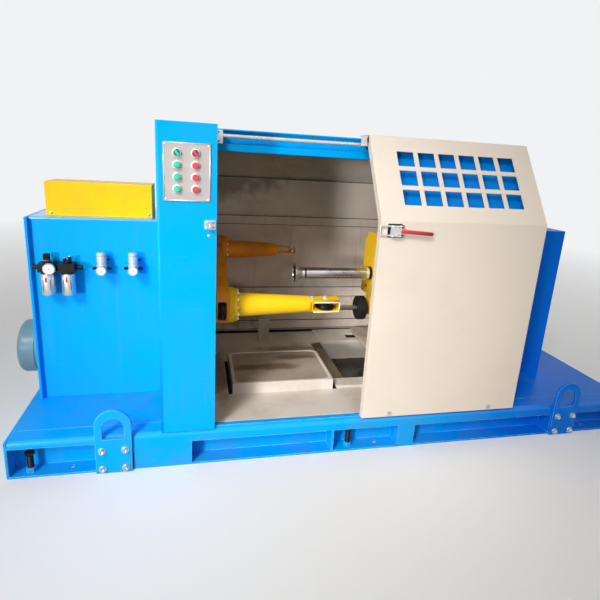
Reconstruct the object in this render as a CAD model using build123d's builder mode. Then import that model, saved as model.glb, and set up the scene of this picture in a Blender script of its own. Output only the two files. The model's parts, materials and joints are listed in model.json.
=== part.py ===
from build123d import *
import math
import os

os.makedirs("parts", exist_ok=True)

# Single twist bunching machine, in millimetres. +X runs along the machine from the drive end
# to the take-up end, -Y is the operator side, and the origin lies on the floor under the middle
# of the base, so the plane Y = 0 holds the rotor axis.

# Base
swing_room = 133
tail_room = 255
base_height = 148
beam_width = 78
beam_plate = 8
lip_height = 73
beam_corner = 20
deck_plate = 8
end_plate = 10
cross_width = 120
pit_member_height = 50
rib_plate = 10
rib_inset = 1222
post_start = 1520
post_width = 76
closed_start = 440
closed_width = 215

# Levelling screws and floor anchors: the outer ones from the ends of the base, the middle ones from
# its left end
screw_diameter = 26
screw_height = 92
screw_nut_width = 38
screw_nut_height = 18
screw_setback = 30
screw_inset = 74
middle_screw_inset = 1303
anchor_hole = 18
anchor_setback = 38
anchor_inset = 213
middle_anchor_inset = 1430

# Lifting lugs, each pair measured from its own end of the base
lug_width = 130
lug_height = 262
lug_plate = 12
lug_eye_width = 77
lug_eye_bottom = 143
lug_eye_top = 227
lug_left_inset = 371
lug_right_inset = 372
lug_bolt_spacing_x = 82
lug_bolt_spacing_z = 76
lug_bolt_low = 21
bolt_head_diameter = 22
bolt_head_height = 13

# Drive cabinet
cabinet_inset = 34
cabinet_length = 508
cabinet_top = 914
cabinet_setback = 332
cabinet_sheet = 3
cabinet_end_overhang = 20
guard_inset = 63
guard_setback = 43
guard_length = 399
guard_depth = 150
guard_height = 133
guard_sheet = 3
sheet_bend = 6
cabinet_bend = 11

# Main motor and the wire inlet
motor_radius = 120
motor_height = 278
motor_reach = 138
motor_length = 400
motor_gap = 4
motor_foot_inset = 40
motor_foot_length = 200
motor_foot_width = 190
cowl_round = 22
motor_offset = 45
inlet_radius = 32
inlet_bore = 16
inlet_length = 46
inlet_flange = 8
inlet_rim = 12

# Control column and headstock
column_width = 199
column_height = 1280
column_sheet = 3
headstock_wall = 6
panel_inset = 24
panel_width = 153
panel_drop = 65
panel_height = 190
panel_plate = 4
button_inset = 44
button_pitch_x = 60
button_pitch_z = 39
button_drop = 33
button_rows = 4
button_columns = 2
bezel_radius = 15
bezel_height = 5
cap_radius = 10
cap_height = 7
catch_width = 38
catch_height = 32
catch_depth = 24
catch_drop = 49
catch_gap = 3
catch_plate = 6
catch_body = 27

# Twisting bay
bay_length = 1327
end_wall = 12
end_wall_setback = 20
bay_sheet = 3
floor_front = 47
floor_sheet = 3
liner_inset = 65
rib_depth = 10
rib_bands = ((165, 218), (370, 429), (807, 855))
hood_drop = 300
hood_edge_shift = 6
roof_rise = 3
roof_plate = 6
beam_setback = 328
beam_drop = 85
beam_web = 26
beam_lip = 28
track_setback = 14
track_width = 12
track_height = 8
rail_setback = 310
rail_drop = 27
rail_radius = 7
rail_bracket = 34
bracket_depth = 20
bracket_rise = 20

# Bay floor: lift platform, loading pit and bobbin flap
platform_left = 90
platform_gap = 21
platform_setback = 262
platform_depth = 345
platform_height = 52
platform_corner = 40
platform_plate = 4
pit_end_gap = 362
pit_length = 331
pit_front_gap = 5
pit_rear_gap = 7
pit_sheet = 4
flap_height = 8
flap_width = 58
flap_edge = 5
ledge_rear_gap = 110
ledge_width = 188
ledge_slot_shift = 40
guide_height = 12
guide_width = 76
guide_setback = 268
slot_length = 104
slot_width = 70
slot_shift = 180
sensor_width = 63
sensor_height = 130
sensor_depth = 20
sensor_left = 282
sensor_rear_gap = 234

# Sliding door
door_width = 718
door_clearance = 7
door_sheet = 3
door_front = 8
door_low = 8
door_rise = 10
door_top_setback = 203
door_flange_setback = 322
door_return = 28
hole_columns = 6
hole_rows = 3
hole_width = 72
hole_height = 67
hole_pitch_x = 90.6
hole_pitch_s = 86
hole_left = 105
hole_rise = 69
roller_radius = 16
roller_width = 14
roller_bolt = 6
roller_head = 5
roller_head_radius = 10
roller_inset_left = 119
roller_inset_right = 588
hanger_length = 60
hanger_depth = 26
hanger_drop = 18
hanger_inset = 34
rod_clearance = 1.5
latch_width = 92
latch_height = 52
latch_depth = 26
latch_drop = 62
latch_overhang = 6
latch_corner = 4
latch_body_left = 34
latch_base = 4
loop_radius = 3
loop_rise = 9
handle_length = 118
handle_width = 13
handle_depth = 8
fixed_panel_shift = 58
fixed_panel_setback = 32
fixed_panel_drop = 30

# Rotor
axis_height = 638
arm_radius = 349
arm_angle = 8
rotor_clearance = 9
hub_thickness = 50
hub_radius = 98
hub_end_radius = 75
shaft_radius = 45
shaft_length = 150
shaft_end_gap = 3
hub_nose = 14
hub_nose_radius = 59
housing_radius = 90
housing_flange = 125
housing_flange_plate = 12
housing_end = 8
flange_radius = 73
flange_length = 35
flange_step = 21
flange_step_radius = 68
arm_root_radius = 50
arm_tip_radius = 34
arm_length = 307
rear_arm_length = 275
fork_length = 128
fork_width = 44
fork_cheek = 6
fork_gap = 38
fork_web = 6
fork_root = 14
pin_head = 8
pulley_radius = 48
pulley_width = 26
pulley_offset = 70
pulley_groove = 9
pulley_rim = 7
axle_radius = 8
running_clearance = 0.05
rear_fork_length = 112
rear_fork_width = 30
rear_cheek = 8
rear_gap = 42
roller_offset = 92
rear_roller_radius = 20
rear_roller_width = 30

# Take-up carriage and spindle, placed from the end wall
spindle_radius = 28
spindle_reach = 400
spindle_tail = 55
flare_radius = 48
flare_length = 58
flare_rim = 10
groove_depth = 4
groove_width = 8
collar_step = 3
collar_length = 10
driver_gap = 35
driver_plate = 30
driver_half_width = 112
driver_rise = 205
driver_drop = 118
driver_chamfer = 48
tongue_half_width = 30
pin_circle = 185
pin_radius = 12.5
pin_length = 165
buffer_radius = 62
buffer_length = 42
buffer_start = 60
buffer_round = 5
carriage_gap = 88
carriage_length = 370
carriage_width = 660
carriage_plate = 25
carriage_rear = 400
tower_width = 240
tower_length = 200
tower_inset = 20
quill_radius = 75
quill_nose = 12
tower_rise = 60
spindle_pulley_radius = 110
spindle_pulley_width = 40

# Clearance between pieces that lie close but stay apart
fit_gap = 0.3

# Take-up end cabinet
tail_length = 385
tail_height = 910
tail_sheet = 3

# Air preparation units on the cabinet front, measured from the cabinet's left side
frl_inlet = 21
frl_block_width = 58
frl_spacing = 73
frl_first = 74
frl_body_height = 44
frl_body_depth = 50
frl_centre_height = 724
frl_link = 26
frl_port = 9
frl_outlet = 56
bowl_radius = 26
bowl_height = 91
knob_radius = 13
knob_height = 31
gauge_radius = 22
gauge_depth = 16
gauge_shift = 15
dome_radius = 14
dome_height = 22
unit_standoff = 12
regulator_first = 272
regulator_count = 2
regulator_spacing = 119
regulator_width = 40
regulator_height = 84
regulator_centre_height = 741
regulator_gauge_radius = 19
regulator_gauge_rise = 14
regulator_gauge_reach = 8
regulator_port = 6
regulator_port_rise = 6
regulator_port_reach = 36
regulator_stem_width = 18
regulator_stem_height = 36

# Places worked out from the sizes above; the base is as long as what stands on it and as deep as the
# rotor's swing asks
housing_length = cabinet_length + column_width + bay_length + end_wall + tail_length
base_length = cabinet_inset + housing_length + tail_room
base_depth = 2 * (arm_radius + flange_radius + swing_room)
left_end = -base_length / 2
right_end = base_length / 2
front = -base_depth / 2
rear = base_depth / 2
cabinet_left = left_end + cabinet_inset
column_left = cabinet_left + cabinet_length
bay_left = column_left + column_width
end_wall_left = bay_left + bay_length
tail_left = end_wall_left + end_wall
tail_right = tail_left + tail_length
deck_underside = base_height - deck_plate
cabinet_front = front + cabinet_setback
cabinet_rear = -cabinet_front
door_left = end_wall_left - door_clearance - door_width
door_right = door_left + door_width
hood_fold = column_height - hood_drop
roof_height = column_height + roof_rise
roof_underside = roof_height - roof_plate
hood_edge = front + door_top_setback + hood_edge_shift
beam_low = roof_height - beam_drop
rail_height = roof_height - rail_drop
door_top = roof_height + door_rise
lug_insets = (lug_left_inset, base_length - lug_right_inset)


def block(x0, x1, y0, y1, z0, z1, mode=Mode.ADD):
    """A box between two corners."""
    with Locations(((x0 + x1) / 2, (y0 + y1) / 2, (z0 + z1) / 2)):
        Box(x1 - x0, y1 - y0, z1 - z0, mode=mode)


def rod_x(x0, x1, y, z, radius, mode=Mode.ADD):
    """A round bar along X."""
    with BuildSketch(Plane.YZ.offset(x0)) as disc:
        with Locations((y, z)):
            Circle(radius)
    extrude(disc.sketch, amount=x1 - x0, mode=mode)


def rod_y(y0, y1, x, z, radius, mode=Mode.ADD):
    """A round bar along Y, from y0 towards larger Y."""
    with BuildSketch(Plane.XZ.offset(-y0)) as disc:
        with Locations((x, z)):
            Circle(radius)
    extrude(disc.sketch, amount=-(y1 - y0), mode=mode)


def rod_z(z0, z1, x, y, radius, mode=Mode.ADD):
    """A round bar along Z."""
    with BuildSketch(Plane.XY.offset(z0)) as disc:
        with Locations((x, y)):
            Circle(radius)
    extrude(disc.sketch, amount=z1 - z0, mode=mode)


def profile_x(points, x0, x1, mode=Mode.ADD):
    """A closed (Y, Z) outline drawn out along X."""
    with BuildSketch(Plane.YZ.offset(x0)) as outline:
        with BuildLine():
            Polyline(*points, close=True)
        make_face()
    extrude(outline.sketch, amount=x1 - x0, mode=mode)


def folded_x(points, thickness, bend, x0, x1):
    """A folded sheet whose outer face follows (Y, Z) points and whose wall lies to their right."""
    with BuildSketch(Plane.YZ.offset(x0)) as outline:
        with BuildLine():
            FilletPolyline(*points, radius=bend)
            offset(amount=thickness, side=Side.RIGHT)
        make_face()
    extrude(outline.sketch, amount=x1 - x0)


def mirrored_y(points):
    """The same (Y, Z) points on the rear side, in reverse order."""
    return [(-y, z) for y, z in reversed(points)]


def save(piece, name):
    """Labels a finished piece and writes its file."""
    piece.part.label = name
    export_step(piece.part, "parts/" + name + ".step")


# Long beams of the base: a folded top lip, a set-back web and a bottom flange, closed at the
# lugs, under the column and at the middle post
def beam_section(side):
    """The open section of one long beam, with its lip on the outside."""
    outer = side * base_depth / 2
    inner = outer - side * beam_width
    web = inner + side * beam_plate
    lip = outer - side * beam_plate
    return [(outer, base_height), (inner, base_height), (inner, 0), (outer, 0), (outer, beam_plate),
            (web, beam_plate), (web, base_height - beam_plate), (lip, base_height - beam_plate),
            (lip, base_height - lip_height), (outer, base_height - lip_height)]


def closing_plate(side, x0, x1):
    """A flush plate that closes the beam's recess between x0 and x1."""
    outer = side * base_depth / 2
    inner = outer - side * (beam_width - beam_plate)
    low = min(outer, inner)
    high = max(outer, inner)
    block(x0, x1, low, high, beam_plate, base_height - lip_height)
    block(x0, x1, low + beam_plate, high - beam_plate, base_height - lip_height, deck_underside)


for side, beam_name in ((-1, "front_beam"), (1, "rear_beam")):
    with BuildPart() as beam:
        profile_x(beam_section(side), left_end + end_plate, right_end - end_plate)
        for lug_inset in lug_insets:
            lug_x = left_end + lug_inset
            closing_plate(side, lug_x - lug_width / 2, lug_x + lug_width / 2)
        closing_plate(side, left_end + closed_start, left_end + closed_start + closed_width)
        closing_plate(side, left_end + post_start, left_end + post_start + post_width)
        closing_plate(side, left_end + rib_inset, left_end + rib_inset + rib_plate)
        top_edges = beam.edges().filter_by(Axis.X).group_by(Axis.Z)[-1]
        fillet(top_edges.sort_by(Axis.Y)[0 if side < 0 else -1], radius=beam_corner)
        anchors = [left_end + anchor_inset, left_end + middle_anchor_inset, right_end - anchor_inset]
        for anchor_x in anchors:
            anchor_y = side * (base_depth / 2 - anchor_setback)
            rod_z(0, beam_plate, anchor_x, anchor_y, anchor_hole / 2, mode=Mode.SUBTRACT)
        for screw_x in (left_end + screw_inset, left_end + middle_screw_inset, right_end - screw_inset):
            screw_y = side * (base_depth / 2 - screw_setback)
            rod_z(0, beam_plate, screw_x, screw_y, screw_diameter / 2 + fit_gap, mode=Mode.SUBTRACT)
    save(beam, beam_name)

# End plates and cross members of the base
for end_name, end_x in (("left_end_plate", left_end), ("right_end_plate", right_end - end_plate)):
    with BuildPart() as base_end:
        block(end_x, end_x + end_plate, front, rear, 0, base_height)
    save(base_end, end_name)

with BuildPart() as cross_members:
    member_y = base_depth / 2 - beam_width
    for member_x in (left_end + closed_start, column_left + column_width / 2, end_wall_left):
        block(member_x - cross_width / 2, member_x + cross_width / 2, -member_y, member_y,
              0, deck_underside)
    block(-cross_width / 2, cross_width / 2, -member_y, member_y, 0, pit_member_height)
save(cross_members, "cross_members")

# Deck plates at both ends, let in between the beams
with BuildPart() as deck:
    deck_y = base_depth / 2 - beam_width
    block(left_end + end_plate, bay_left, -deck_y, deck_y, deck_underside, base_height)
    block(end_wall_left, right_end - end_plate, -deck_y, deck_y, deck_underside, base_height)
save(deck, "deck")

# Levelling screws with their nuts on the bottom flanges
with BuildPart() as levelling_screws:
    for side in (-1, 1):
        screw_y = side * (base_depth / 2 - screw_setback)
        for screw_x in (left_end + screw_inset, left_end + middle_screw_inset, right_end - screw_inset):
            rod_z(0, screw_height, screw_x, screw_y, screw_diameter / 2)
            with BuildSketch(Plane.XY.offset(beam_plate)):
                with Locations((screw_x, screw_y)):
                    RegularPolygon(radius=screw_nut_width / 2, side_count=6, major_radius=False)
            extrude(amount=screw_nut_height)
save(levelling_screws, "levelling_screws")

# Lifting lugs, bolted to the outside of the beams
lug_places = (("lifting_lug_front_left", -1, lug_insets[0]), ("lifting_lug_front_right", -1, lug_insets[1]),
              ("lifting_lug_rear_left", 1, lug_insets[0]), ("lifting_lug_rear_right", 1, lug_insets[1]))
for lug_name, side, lug_inset in lug_places:
    lug_x = left_end + lug_inset
    lug_face = side * base_depth / 2
    eye_radius = lug_eye_width / 2
    eye_centre = lug_eye_top - eye_radius
    with BuildPart() as lug:
        with BuildSketch(Plane.XZ.offset(-min(lug_face, lug_face + side * lug_plate))):
            with Locations((lug_x, (lug_height - lug_width / 2) / 2)):
                Rectangle(lug_width, lug_height - lug_width / 2)
            with Locations((lug_x, lug_height - lug_width / 2)):
                Circle(lug_width / 2)
            with Locations((lug_x, eye_centre)):
                Circle(eye_radius, mode=Mode.SUBTRACT)
            with Locations((lug_x, (lug_eye_bottom + eye_centre) / 2)):
                Rectangle(lug_eye_width, eye_centre - lug_eye_bottom, mode=Mode.SUBTRACT)
        extrude(amount=-lug_plate)
    save(lug, lug_name)

with BuildPart() as lug_bolts:
    for lug_name, side, lug_inset in lug_places:
        lug_x = left_end + lug_inset
        seat = side * (base_depth / 2 + lug_plate)
        low = min(seat, seat + side * bolt_head_height)
        for bolt_x in (lug_x - lug_bolt_spacing_x / 2, lug_x + lug_bolt_spacing_x / 2):
            for bolt_z in (lug_bolt_low, lug_bolt_low + lug_bolt_spacing_z):
                rod_y(low, low + bolt_head_height, bolt_x, bolt_z, bolt_head_diameter / 2)
save(lug_bolts, "lug_bolts")

# Drive cabinet: a thick end plate and a folded cover over the motor
with BuildPart() as cabinet_end_plate:
    overhang = cabinet_end_overhang
    block(cabinet_left, cabinet_left + end_plate, cabinet_front - overhang, cabinet_rear + overhang,
          base_height, cabinet_top)
    rod_x(cabinet_left, cabinet_left + end_plate, motor_offset, motor_height, motor_radius + motor_gap,
          mode=Mode.SUBTRACT)
    rod_x(cabinet_left, cabinet_left + end_plate, 0, axis_height, inlet_radius + fit_gap,
          mode=Mode.SUBTRACT)
save(cabinet_end_plate, "cabinet_end_plate")

with BuildPart() as cabinet_cover:
    folded_x([(cabinet_front, base_height), (cabinet_front, cabinet_top),
              (cabinet_rear, cabinet_top), (cabinet_rear, base_height)],
             cabinet_sheet, cabinet_bend, cabinet_left + end_plate, column_left)
save(cabinet_cover, "cabinet_cover")

# Belt guard on the cabinet: a folded cover that is open below
with BuildPart() as belt_guard:
    guard_left = cabinet_left + guard_inset
    guard_right = guard_left + guard_length
    guard_front = cabinet_front + guard_setback
    guard_rear = guard_front + guard_depth
    guard_top = cabinet_top + guard_height
    block(guard_left, guard_right, guard_front, guard_rear, cabinet_top, guard_top)
    block(guard_left + guard_sheet, guard_right - guard_sheet, guard_front + guard_sheet,
          guard_rear - guard_sheet, cabinet_top, guard_top - guard_sheet, mode=Mode.SUBTRACT)
save(belt_guard, "belt_guard")

# Main motor on its foot, with the fan cowl out through the end plate
with BuildPart() as main_motor:
    motor_left = cabinet_left - motor_reach
    rod_x(motor_left, motor_left + motor_length, motor_offset, motor_height, motor_radius)
    fillet(main_motor.edges().group_by(Axis.X)[0], radius=cowl_round)
    foot_left = cabinet_left + end_plate + motor_foot_inset
    block(foot_left, foot_left + motor_foot_length, motor_offset - motor_foot_width / 2,
          motor_offset + motor_foot_width / 2, base_height, motor_height)
save(main_motor, "main_motor")

with BuildPart() as wire_inlet:
    inlet_left = cabinet_left - inlet_length + end_plate + inlet_flange
    rod_x(inlet_left, inlet_left + inlet_length, 0, axis_height, inlet_radius)
    rod_x(cabinet_left - inlet_flange, cabinet_left, 0, axis_height, inlet_radius + inlet_rim)
    rod_x(inlet_left, inlet_left + inlet_length, 0, axis_height, inlet_bore, mode=Mode.SUBTRACT)
save(wire_inlet, "wire_inlet")

# Control column: front plate, folded shell and the headstock wall beside the bay
with BuildPart() as column_front:
    block(column_left, bay_left, front, front + column_sheet, base_height, column_height)
save(column_front, "column_front")

with BuildPart() as column_shell:
    block(column_left, bay_left - headstock_wall, front + column_sheet, rear, base_height, column_height)
    block(column_left + column_sheet, bay_left - headstock_wall, front + column_sheet, rear - column_sheet,
          base_height, column_height - column_sheet, mode=Mode.SUBTRACT)
save(column_shell, "column_shell")

with BuildPart() as headstock_plate:
    block(bay_left - headstock_wall, bay_left, front + column_sheet, rear, base_height, column_height)
    rod_x(bay_left - headstock_wall, bay_left, 0, axis_height, shaft_radius + rotor_clearance,
          mode=Mode.SUBTRACT)
save(headstock_plate, "headstock_wall")

with BuildPart() as rotor_housing:
    housing_right = bay_left - headstock_wall
    housing_left = bay_left + rotor_clearance - shaft_length - housing_end - shaft_end_gap
    rod_x(housing_left, housing_right, 0, axis_height, housing_radius)
    rod_x(housing_right - housing_flange_plate, housing_right, 0, axis_height, housing_flange)
    rod_x(housing_left + housing_end, housing_right, 0, axis_height, shaft_radius + running_clearance,
          mode=Mode.SUBTRACT)
save(rotor_housing, "rotor_housing")

# Button panel on the column, with two columns of push buttons
with BuildPart() as button_panel:
    panel_left = column_left + panel_inset
    panel_top = column_height - panel_drop
    block(panel_left, panel_left + panel_width, front - panel_plate, front,
          panel_top - panel_height, panel_top)
save(button_panel, "button_panel")

with BuildPart() as push_buttons:
    for column in range(button_columns):
        for row in range(button_rows):
            button_x = panel_left + button_inset + column * button_pitch_x
            button_z = panel_top - button_drop - row * button_pitch_z
            face = front - panel_plate
            rod_y(face - bezel_height, face, button_x, button_z, bezel_radius)
            rod_y(face - bezel_height - cap_height, face - bezel_height, button_x, button_z, cap_radius)
save(push_buttons, "push_buttons")

with BuildPart() as latch_catch:
    catch_right = bay_left - catch_gap
    catch_low = hood_fold - catch_drop
    catch_high = catch_low + catch_height
    block(catch_right - catch_width, catch_right, front - catch_plate, front, catch_low, catch_high)
    block(catch_right - catch_body, catch_right, front - catch_depth, front - catch_plate,
          catch_low + catch_plate, catch_high - catch_plate)
save(latch_catch, "latch_catch")

# Bay floor: a plate between the beams under a sheet that reaches over them, with the loading pit
# between the carriage's two guides
guide_y0 = front + guide_setback
guide_y1 = guide_y0 + guide_width
ledge_y1 = rear - ledge_rear_gap
ledge_y0 = ledge_y1 - ledge_width
pit_x1 = end_wall_left - pit_end_gap
pit_x0 = pit_x1 - pit_length
pit_y0 = guide_y1 + pit_front_gap
pit_y1 = ledge_y0 - pit_rear_gap
floor_top = base_height + floor_sheet
with BuildPart() as bay_floor:
    floor_y = base_depth / 2 - beam_width
    block(bay_left, end_wall_left, -floor_y, floor_y, deck_underside, base_height)
    block(bay_left, end_wall_left, front + floor_front, rear - floor_front, base_height, floor_top)
    block(pit_x0, pit_x1, pit_y0, pit_y1, deck_underside, floor_top, mode=Mode.SUBTRACT)
save(bay_floor, "bay_floor")

# Loading pit: an open tray that hangs in the floor and rests on the low cross member
with BuildPart() as loading_pit:
    block(pit_x0, pit_x1, pit_y0, pit_y1, pit_member_height, floor_top)
    block(pit_x0 + pit_sheet, pit_x1 - pit_sheet, pit_y0 + pit_sheet, pit_y1 - pit_sheet,
          pit_member_height + pit_sheet, floor_top, mode=Mode.SUBTRACT)
save(loading_pit, "loading_pit")

# Lift platform, a shallow upturned tray beside the pit
with BuildPart() as lift_platform:
    platform_x0 = bay_left + platform_left
    platform_x1 = pit_x0 - flap_width - platform_gap
    platform_y0 = front + platform_setback
    platform_y1 = platform_y0 + platform_depth
    platform_top = floor_top + platform_height
    block(platform_x0, platform_x1, platform_y0, platform_y1, floor_top, platform_top)
    corner = lift_platform.edges().filter_by(Axis.Z).sort_by(Axis.X)[-2:].sort_by(Axis.Y)[-1]
    fillet(corner, radius=platform_corner)
    block(platform_x0 + platform_plate, platform_x1 - platform_corner, platform_y0 + platform_plate,
          platform_y1 - platform_corner, floor_top, platform_top - platform_plate, mode=Mode.SUBTRACT)
save(lift_platform, "lift_platform")

# Bobbin flap: a low ramp along the left side of the pit
with BuildPart() as bobbin_flap:
    with BuildSketch(Plane.XZ.offset(-pit_y0)):
        with BuildLine():
            Polyline((pit_x0 - flap_width, floor_top), (pit_x0, floor_top),
                     (pit_x0, floor_top + flap_height),
                     (pit_x0 - flap_edge, floor_top + flap_height), close=True)
        make_face()
    extrude(amount=-(pit_y1 - pit_y0))
save(bobbin_flap, "bobbin_flap")

# Guides for the take-up carriage: a bar in front of the pit and a wide ledge behind it
with BuildPart() as carriage_guides:
    guide_top = floor_top + guide_height
    block(pit_x0 - flap_width, end_wall_left, guide_y0, guide_y1, floor_top, guide_top)
    slot_x0 = pit_x0 + slot_shift
    slot_y0 = ledge_y0 + ledge_slot_shift
    block(pit_x0, end_wall_left, ledge_y0, ledge_y1, floor_top, guide_top)
    block(slot_x0, slot_x0 + slot_length, slot_y0, slot_y0 + slot_width, floor_top, guide_top,
          mode=Mode.SUBTRACT)
save(carriage_guides, "carriage_guides")

with BuildPart() as sensor_post:
    post_x = bay_left + sensor_left
    post_y = rear - sensor_rear_gap
    block(post_x, post_x + sensor_width, post_y, post_y + sensor_depth,
          floor_top, floor_top + sensor_height)
save(sensor_post, "sensor_post")

# Door track on the front beam
with BuildPart() as door_track:
    track_y = front + track_setback
    block(bay_left, end_wall_left, track_y, track_y + track_width, base_height, base_height + track_height)
save(door_track, "door_track")

# Back liner of the bay, with raised bands
hood_run = rear + hood_edge
hood_rise = roof_height - hood_fold
hood_steepness = hood_rise / hood_run
liner_top = hood_fold + liner_inset * hood_steepness - bay_sheet * math.hypot(1, hood_steepness) - fit_gap
with BuildPart() as back_liner:
    liner_y = rear - liner_inset
    liner_face = liner_y - bay_sheet
    block(bay_left, end_wall_left, liner_face, liner_y, floor_top, liner_top)
    for band_low, band_high in rib_bands:
        block(bay_left, end_wall_left, liner_face - rib_depth, liner_face, band_low, band_high)
save(back_liner, "back_liner")

# Hood: rear cover, roof plate and the two top beams
beam_face = front + beam_setback
with BuildPart() as rear_cover:
    folded_x([(-beam_face, roof_height), (-hood_edge, roof_height), (rear, hood_fold),
              (rear, base_height)], bay_sheet, sheet_bend, bay_left, end_wall_left)
save(rear_cover, "rear_cover")

with BuildPart() as roof_panel:
    block(bay_left, end_wall_left, beam_face, -beam_face, roof_underside, roof_height)
save(roof_panel, "roof_panel")

beam_back = beam_face + beam_web
beam_web_front = beam_back - roof_plate
beam_points = [(beam_face, beam_low), (beam_back, beam_low), (beam_back, roof_underside),
               (beam_web_front, roof_underside), (beam_web_front, beam_low + beam_lip),
               (beam_face, beam_low + beam_lip)]
for beam_name, outline in (("front_top_beam", beam_points), ("rear_top_beam", mirrored_y(beam_points))):
    with BuildPart() as top_beam:
        profile_x(outline, bay_left, end_wall_left)
    save(top_beam, beam_name)

# Rail rod of the door on its two brackets
with BuildPart() as door_rail:
    rail_y = front + rail_setback
    rod_x(bay_left, end_wall_left, rail_y, rail_height, rail_radius)
    for bracket_x in (bay_left, end_wall_left - rail_bracket):
        block(bracket_x, bracket_x + rail_bracket, rail_y - bracket_depth / 2, beam_web_front,
              beam_low + beam_lip, rail_height + bracket_rise)
save(door_rail, "door_rail")

# End wall at the take-up end, with the hood's outline, its front edges set back behind the door
with BuildPart() as right_end_wall:
    wall_front = front + end_wall_setback
    profile_x([(wall_front, base_height), (wall_front, hood_fold),
               (hood_edge + end_wall_setback, roof_height),
               (-hood_edge, roof_height), (rear, hood_fold), (rear, base_height)],
              end_wall_left, end_wall_left + end_wall)
save(right_end_wall, "right_end_wall")

# Fixed panel behind the door, parallel to it
slope_run = door_top_setback + door_front
slope_rise = door_top - hood_fold
slope_turn = math.atan2(slope_run, slope_rise)
panel_offset = fixed_panel_setback + door_front
fixed_fold = hood_fold - panel_offset * math.tan(slope_turn / 2)
fixed_panel_top = roof_height - fixed_panel_drop
fixed_face = front + fixed_panel_setback
fixed_slope_y = fixed_face + (fixed_panel_top - fixed_fold) * slope_run / slope_rise
with BuildPart() as fixed_panel:
    folded_x([(fixed_face, base_height), (fixed_face, fixed_fold), (fixed_slope_y, fixed_panel_top)],
             bay_sheet, sheet_bend, door_left + fixed_panel_shift, end_wall_left)
save(fixed_panel, "fixed_front_panel")

# Take-up end cabinet
with BuildPart() as tail_cabinet:
    block(tail_left, tail_right, cabinet_front, cabinet_rear, base_height, tail_height)
    block(tail_left, tail_right - tail_sheet, cabinet_front + tail_sheet, cabinet_rear - tail_sheet,
          base_height, tail_height - tail_sheet, mode=Mode.SUBTRACT)
save(tail_cabinet, "tail_cabinet")

# Sliding door: one folded sheet with side returns and a field of square windows in its slope
door_face = front - door_front
door_outline = [(door_face, base_height + door_low), (door_face, hood_fold),
                (front + door_top_setback, door_top)]
slope_plane = Plane(origin=(door_left, door_face, hood_fold), x_dir=(1, 0, 0),
                    z_dir=(0, -slope_rise, slope_run))
roller_z = base_height + track_height + roller_radius + fit_gap
with BuildPart() as sliding_door:
    folded_x(door_outline + [(front + door_flange_setback, door_top)], door_sheet, sheet_bend,
             door_left, door_right)
    for return_x in (door_left, door_right - door_sheet):
        folded_x(door_outline, door_return, sheet_bend, return_x, return_x + door_sheet)
    with BuildSketch(slope_plane):
        for column in range(hole_columns):
            for row in range(hole_rows):
                hole_x = hole_left + column * hole_pitch_x + hole_width / 2
                hole_s = hole_rise + row * hole_pitch_s + hole_height / 2
                with Locations((hole_x, hole_s)):
                    Rectangle(hole_width, hole_height)
    extrude(amount=-door_sheet * 2, both=True, mode=Mode.SUBTRACT)
    for roller_inset in (roller_inset_left, roller_inset_right):
        rod_y(door_face, door_face + door_sheet, door_left + roller_inset, roller_z, roller_bolt + fit_gap,
              mode=Mode.SUBTRACT)
save(sliding_door, "sliding_door")

with BuildPart() as door_rollers:
    roller_y = front + track_setback + track_width / 2
    for roller_inset in (roller_inset_left, roller_inset_right):
        roller_x = door_left + roller_inset
        rod_y(roller_y - roller_width / 2, roller_y + roller_width / 2, roller_x, roller_z, roller_radius)
        rod_y(door_face - roller_head, roller_y, roller_x, roller_z, roller_bolt)
        rod_y(door_face - roller_head, door_face, roller_x, roller_z, roller_head_radius)
save(door_rollers, "door_rollers")

with BuildPart() as door_hangers:
    flange_underside = door_top - door_sheet
    for hanger_x in (door_left + hanger_inset, door_right - hanger_inset - hanger_length):
        block(hanger_x, hanger_x + hanger_length, rail_y - hanger_depth / 2, rail_y + hanger_depth / 2,
              rail_height - hanger_drop, flange_underside)
        rod_x(hanger_x, hanger_x + hanger_length, rail_y, rail_height, rail_radius + rod_clearance,
              mode=Mode.SUBTRACT)
save(door_hangers, "door_hangers")

# Toggle latch at the door's edge: a clamp body, a loop that reaches for the catch and a handle
with BuildPart() as door_latch:
    latch_left = door_left - latch_overhang
    latch_right = latch_left + latch_width
    latch_low = hood_fold - latch_drop
    latch_high = latch_low + latch_height
    body_left = latch_left + latch_body_left
    block(body_left, latch_right, door_face - latch_depth, door_face, latch_low, latch_high)
    fillet(door_latch.edges().filter_by(Axis.Y), radius=latch_corner)
    loop_y = door_face - latch_base - loop_radius
    loop_low = latch_low + loop_rise
    loop_high = latch_high - loop_rise
    for loop_z in (loop_low, loop_high):
        rod_x(latch_left + loop_radius, body_left + latch_corner, loop_y, loop_z, loop_radius)
    rod_z(loop_low - loop_radius, loop_high + loop_radius, latch_left + loop_radius, loop_y, loop_radius)
    handle_y = door_face - latch_depth
    handle_z = (latch_low + latch_high) / 2
    block(latch_right - latch_corner, latch_right + handle_length, handle_y, handle_y + handle_depth,
          handle_z - handle_width / 2, handle_z + handle_width / 2)
save(door_latch, "door_latch")

# Rotor: a bar with two flyer arms, turned about the machine's axis by the arm angle
arm_cos = math.cos(math.radians(arm_angle))
arm_sin = math.sin(math.radians(arm_angle))
hub_left = bay_left + rotor_clearance
hub_right = hub_left + hub_thickness


def rotor_plane(x):
    """A plane across the axis at x, its own X along the front arm's radius."""
    return Plane(origin=(x, 0, axis_height), x_dir=(0, -arm_cos, -arm_sin), z_dir=(1, 0, 0))


def tangent_plane(x, radius, shift):
    """A plane at a point of the rotor, its normal along the arm's tangent."""
    origin = (x, -radius * arm_cos + shift * arm_sin, axis_height - radius * arm_sin - shift * arm_cos)
    return Plane(origin=origin, x_dir=(1, 0, 0), z_dir=(0, arm_sin, -arm_cos))


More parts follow.
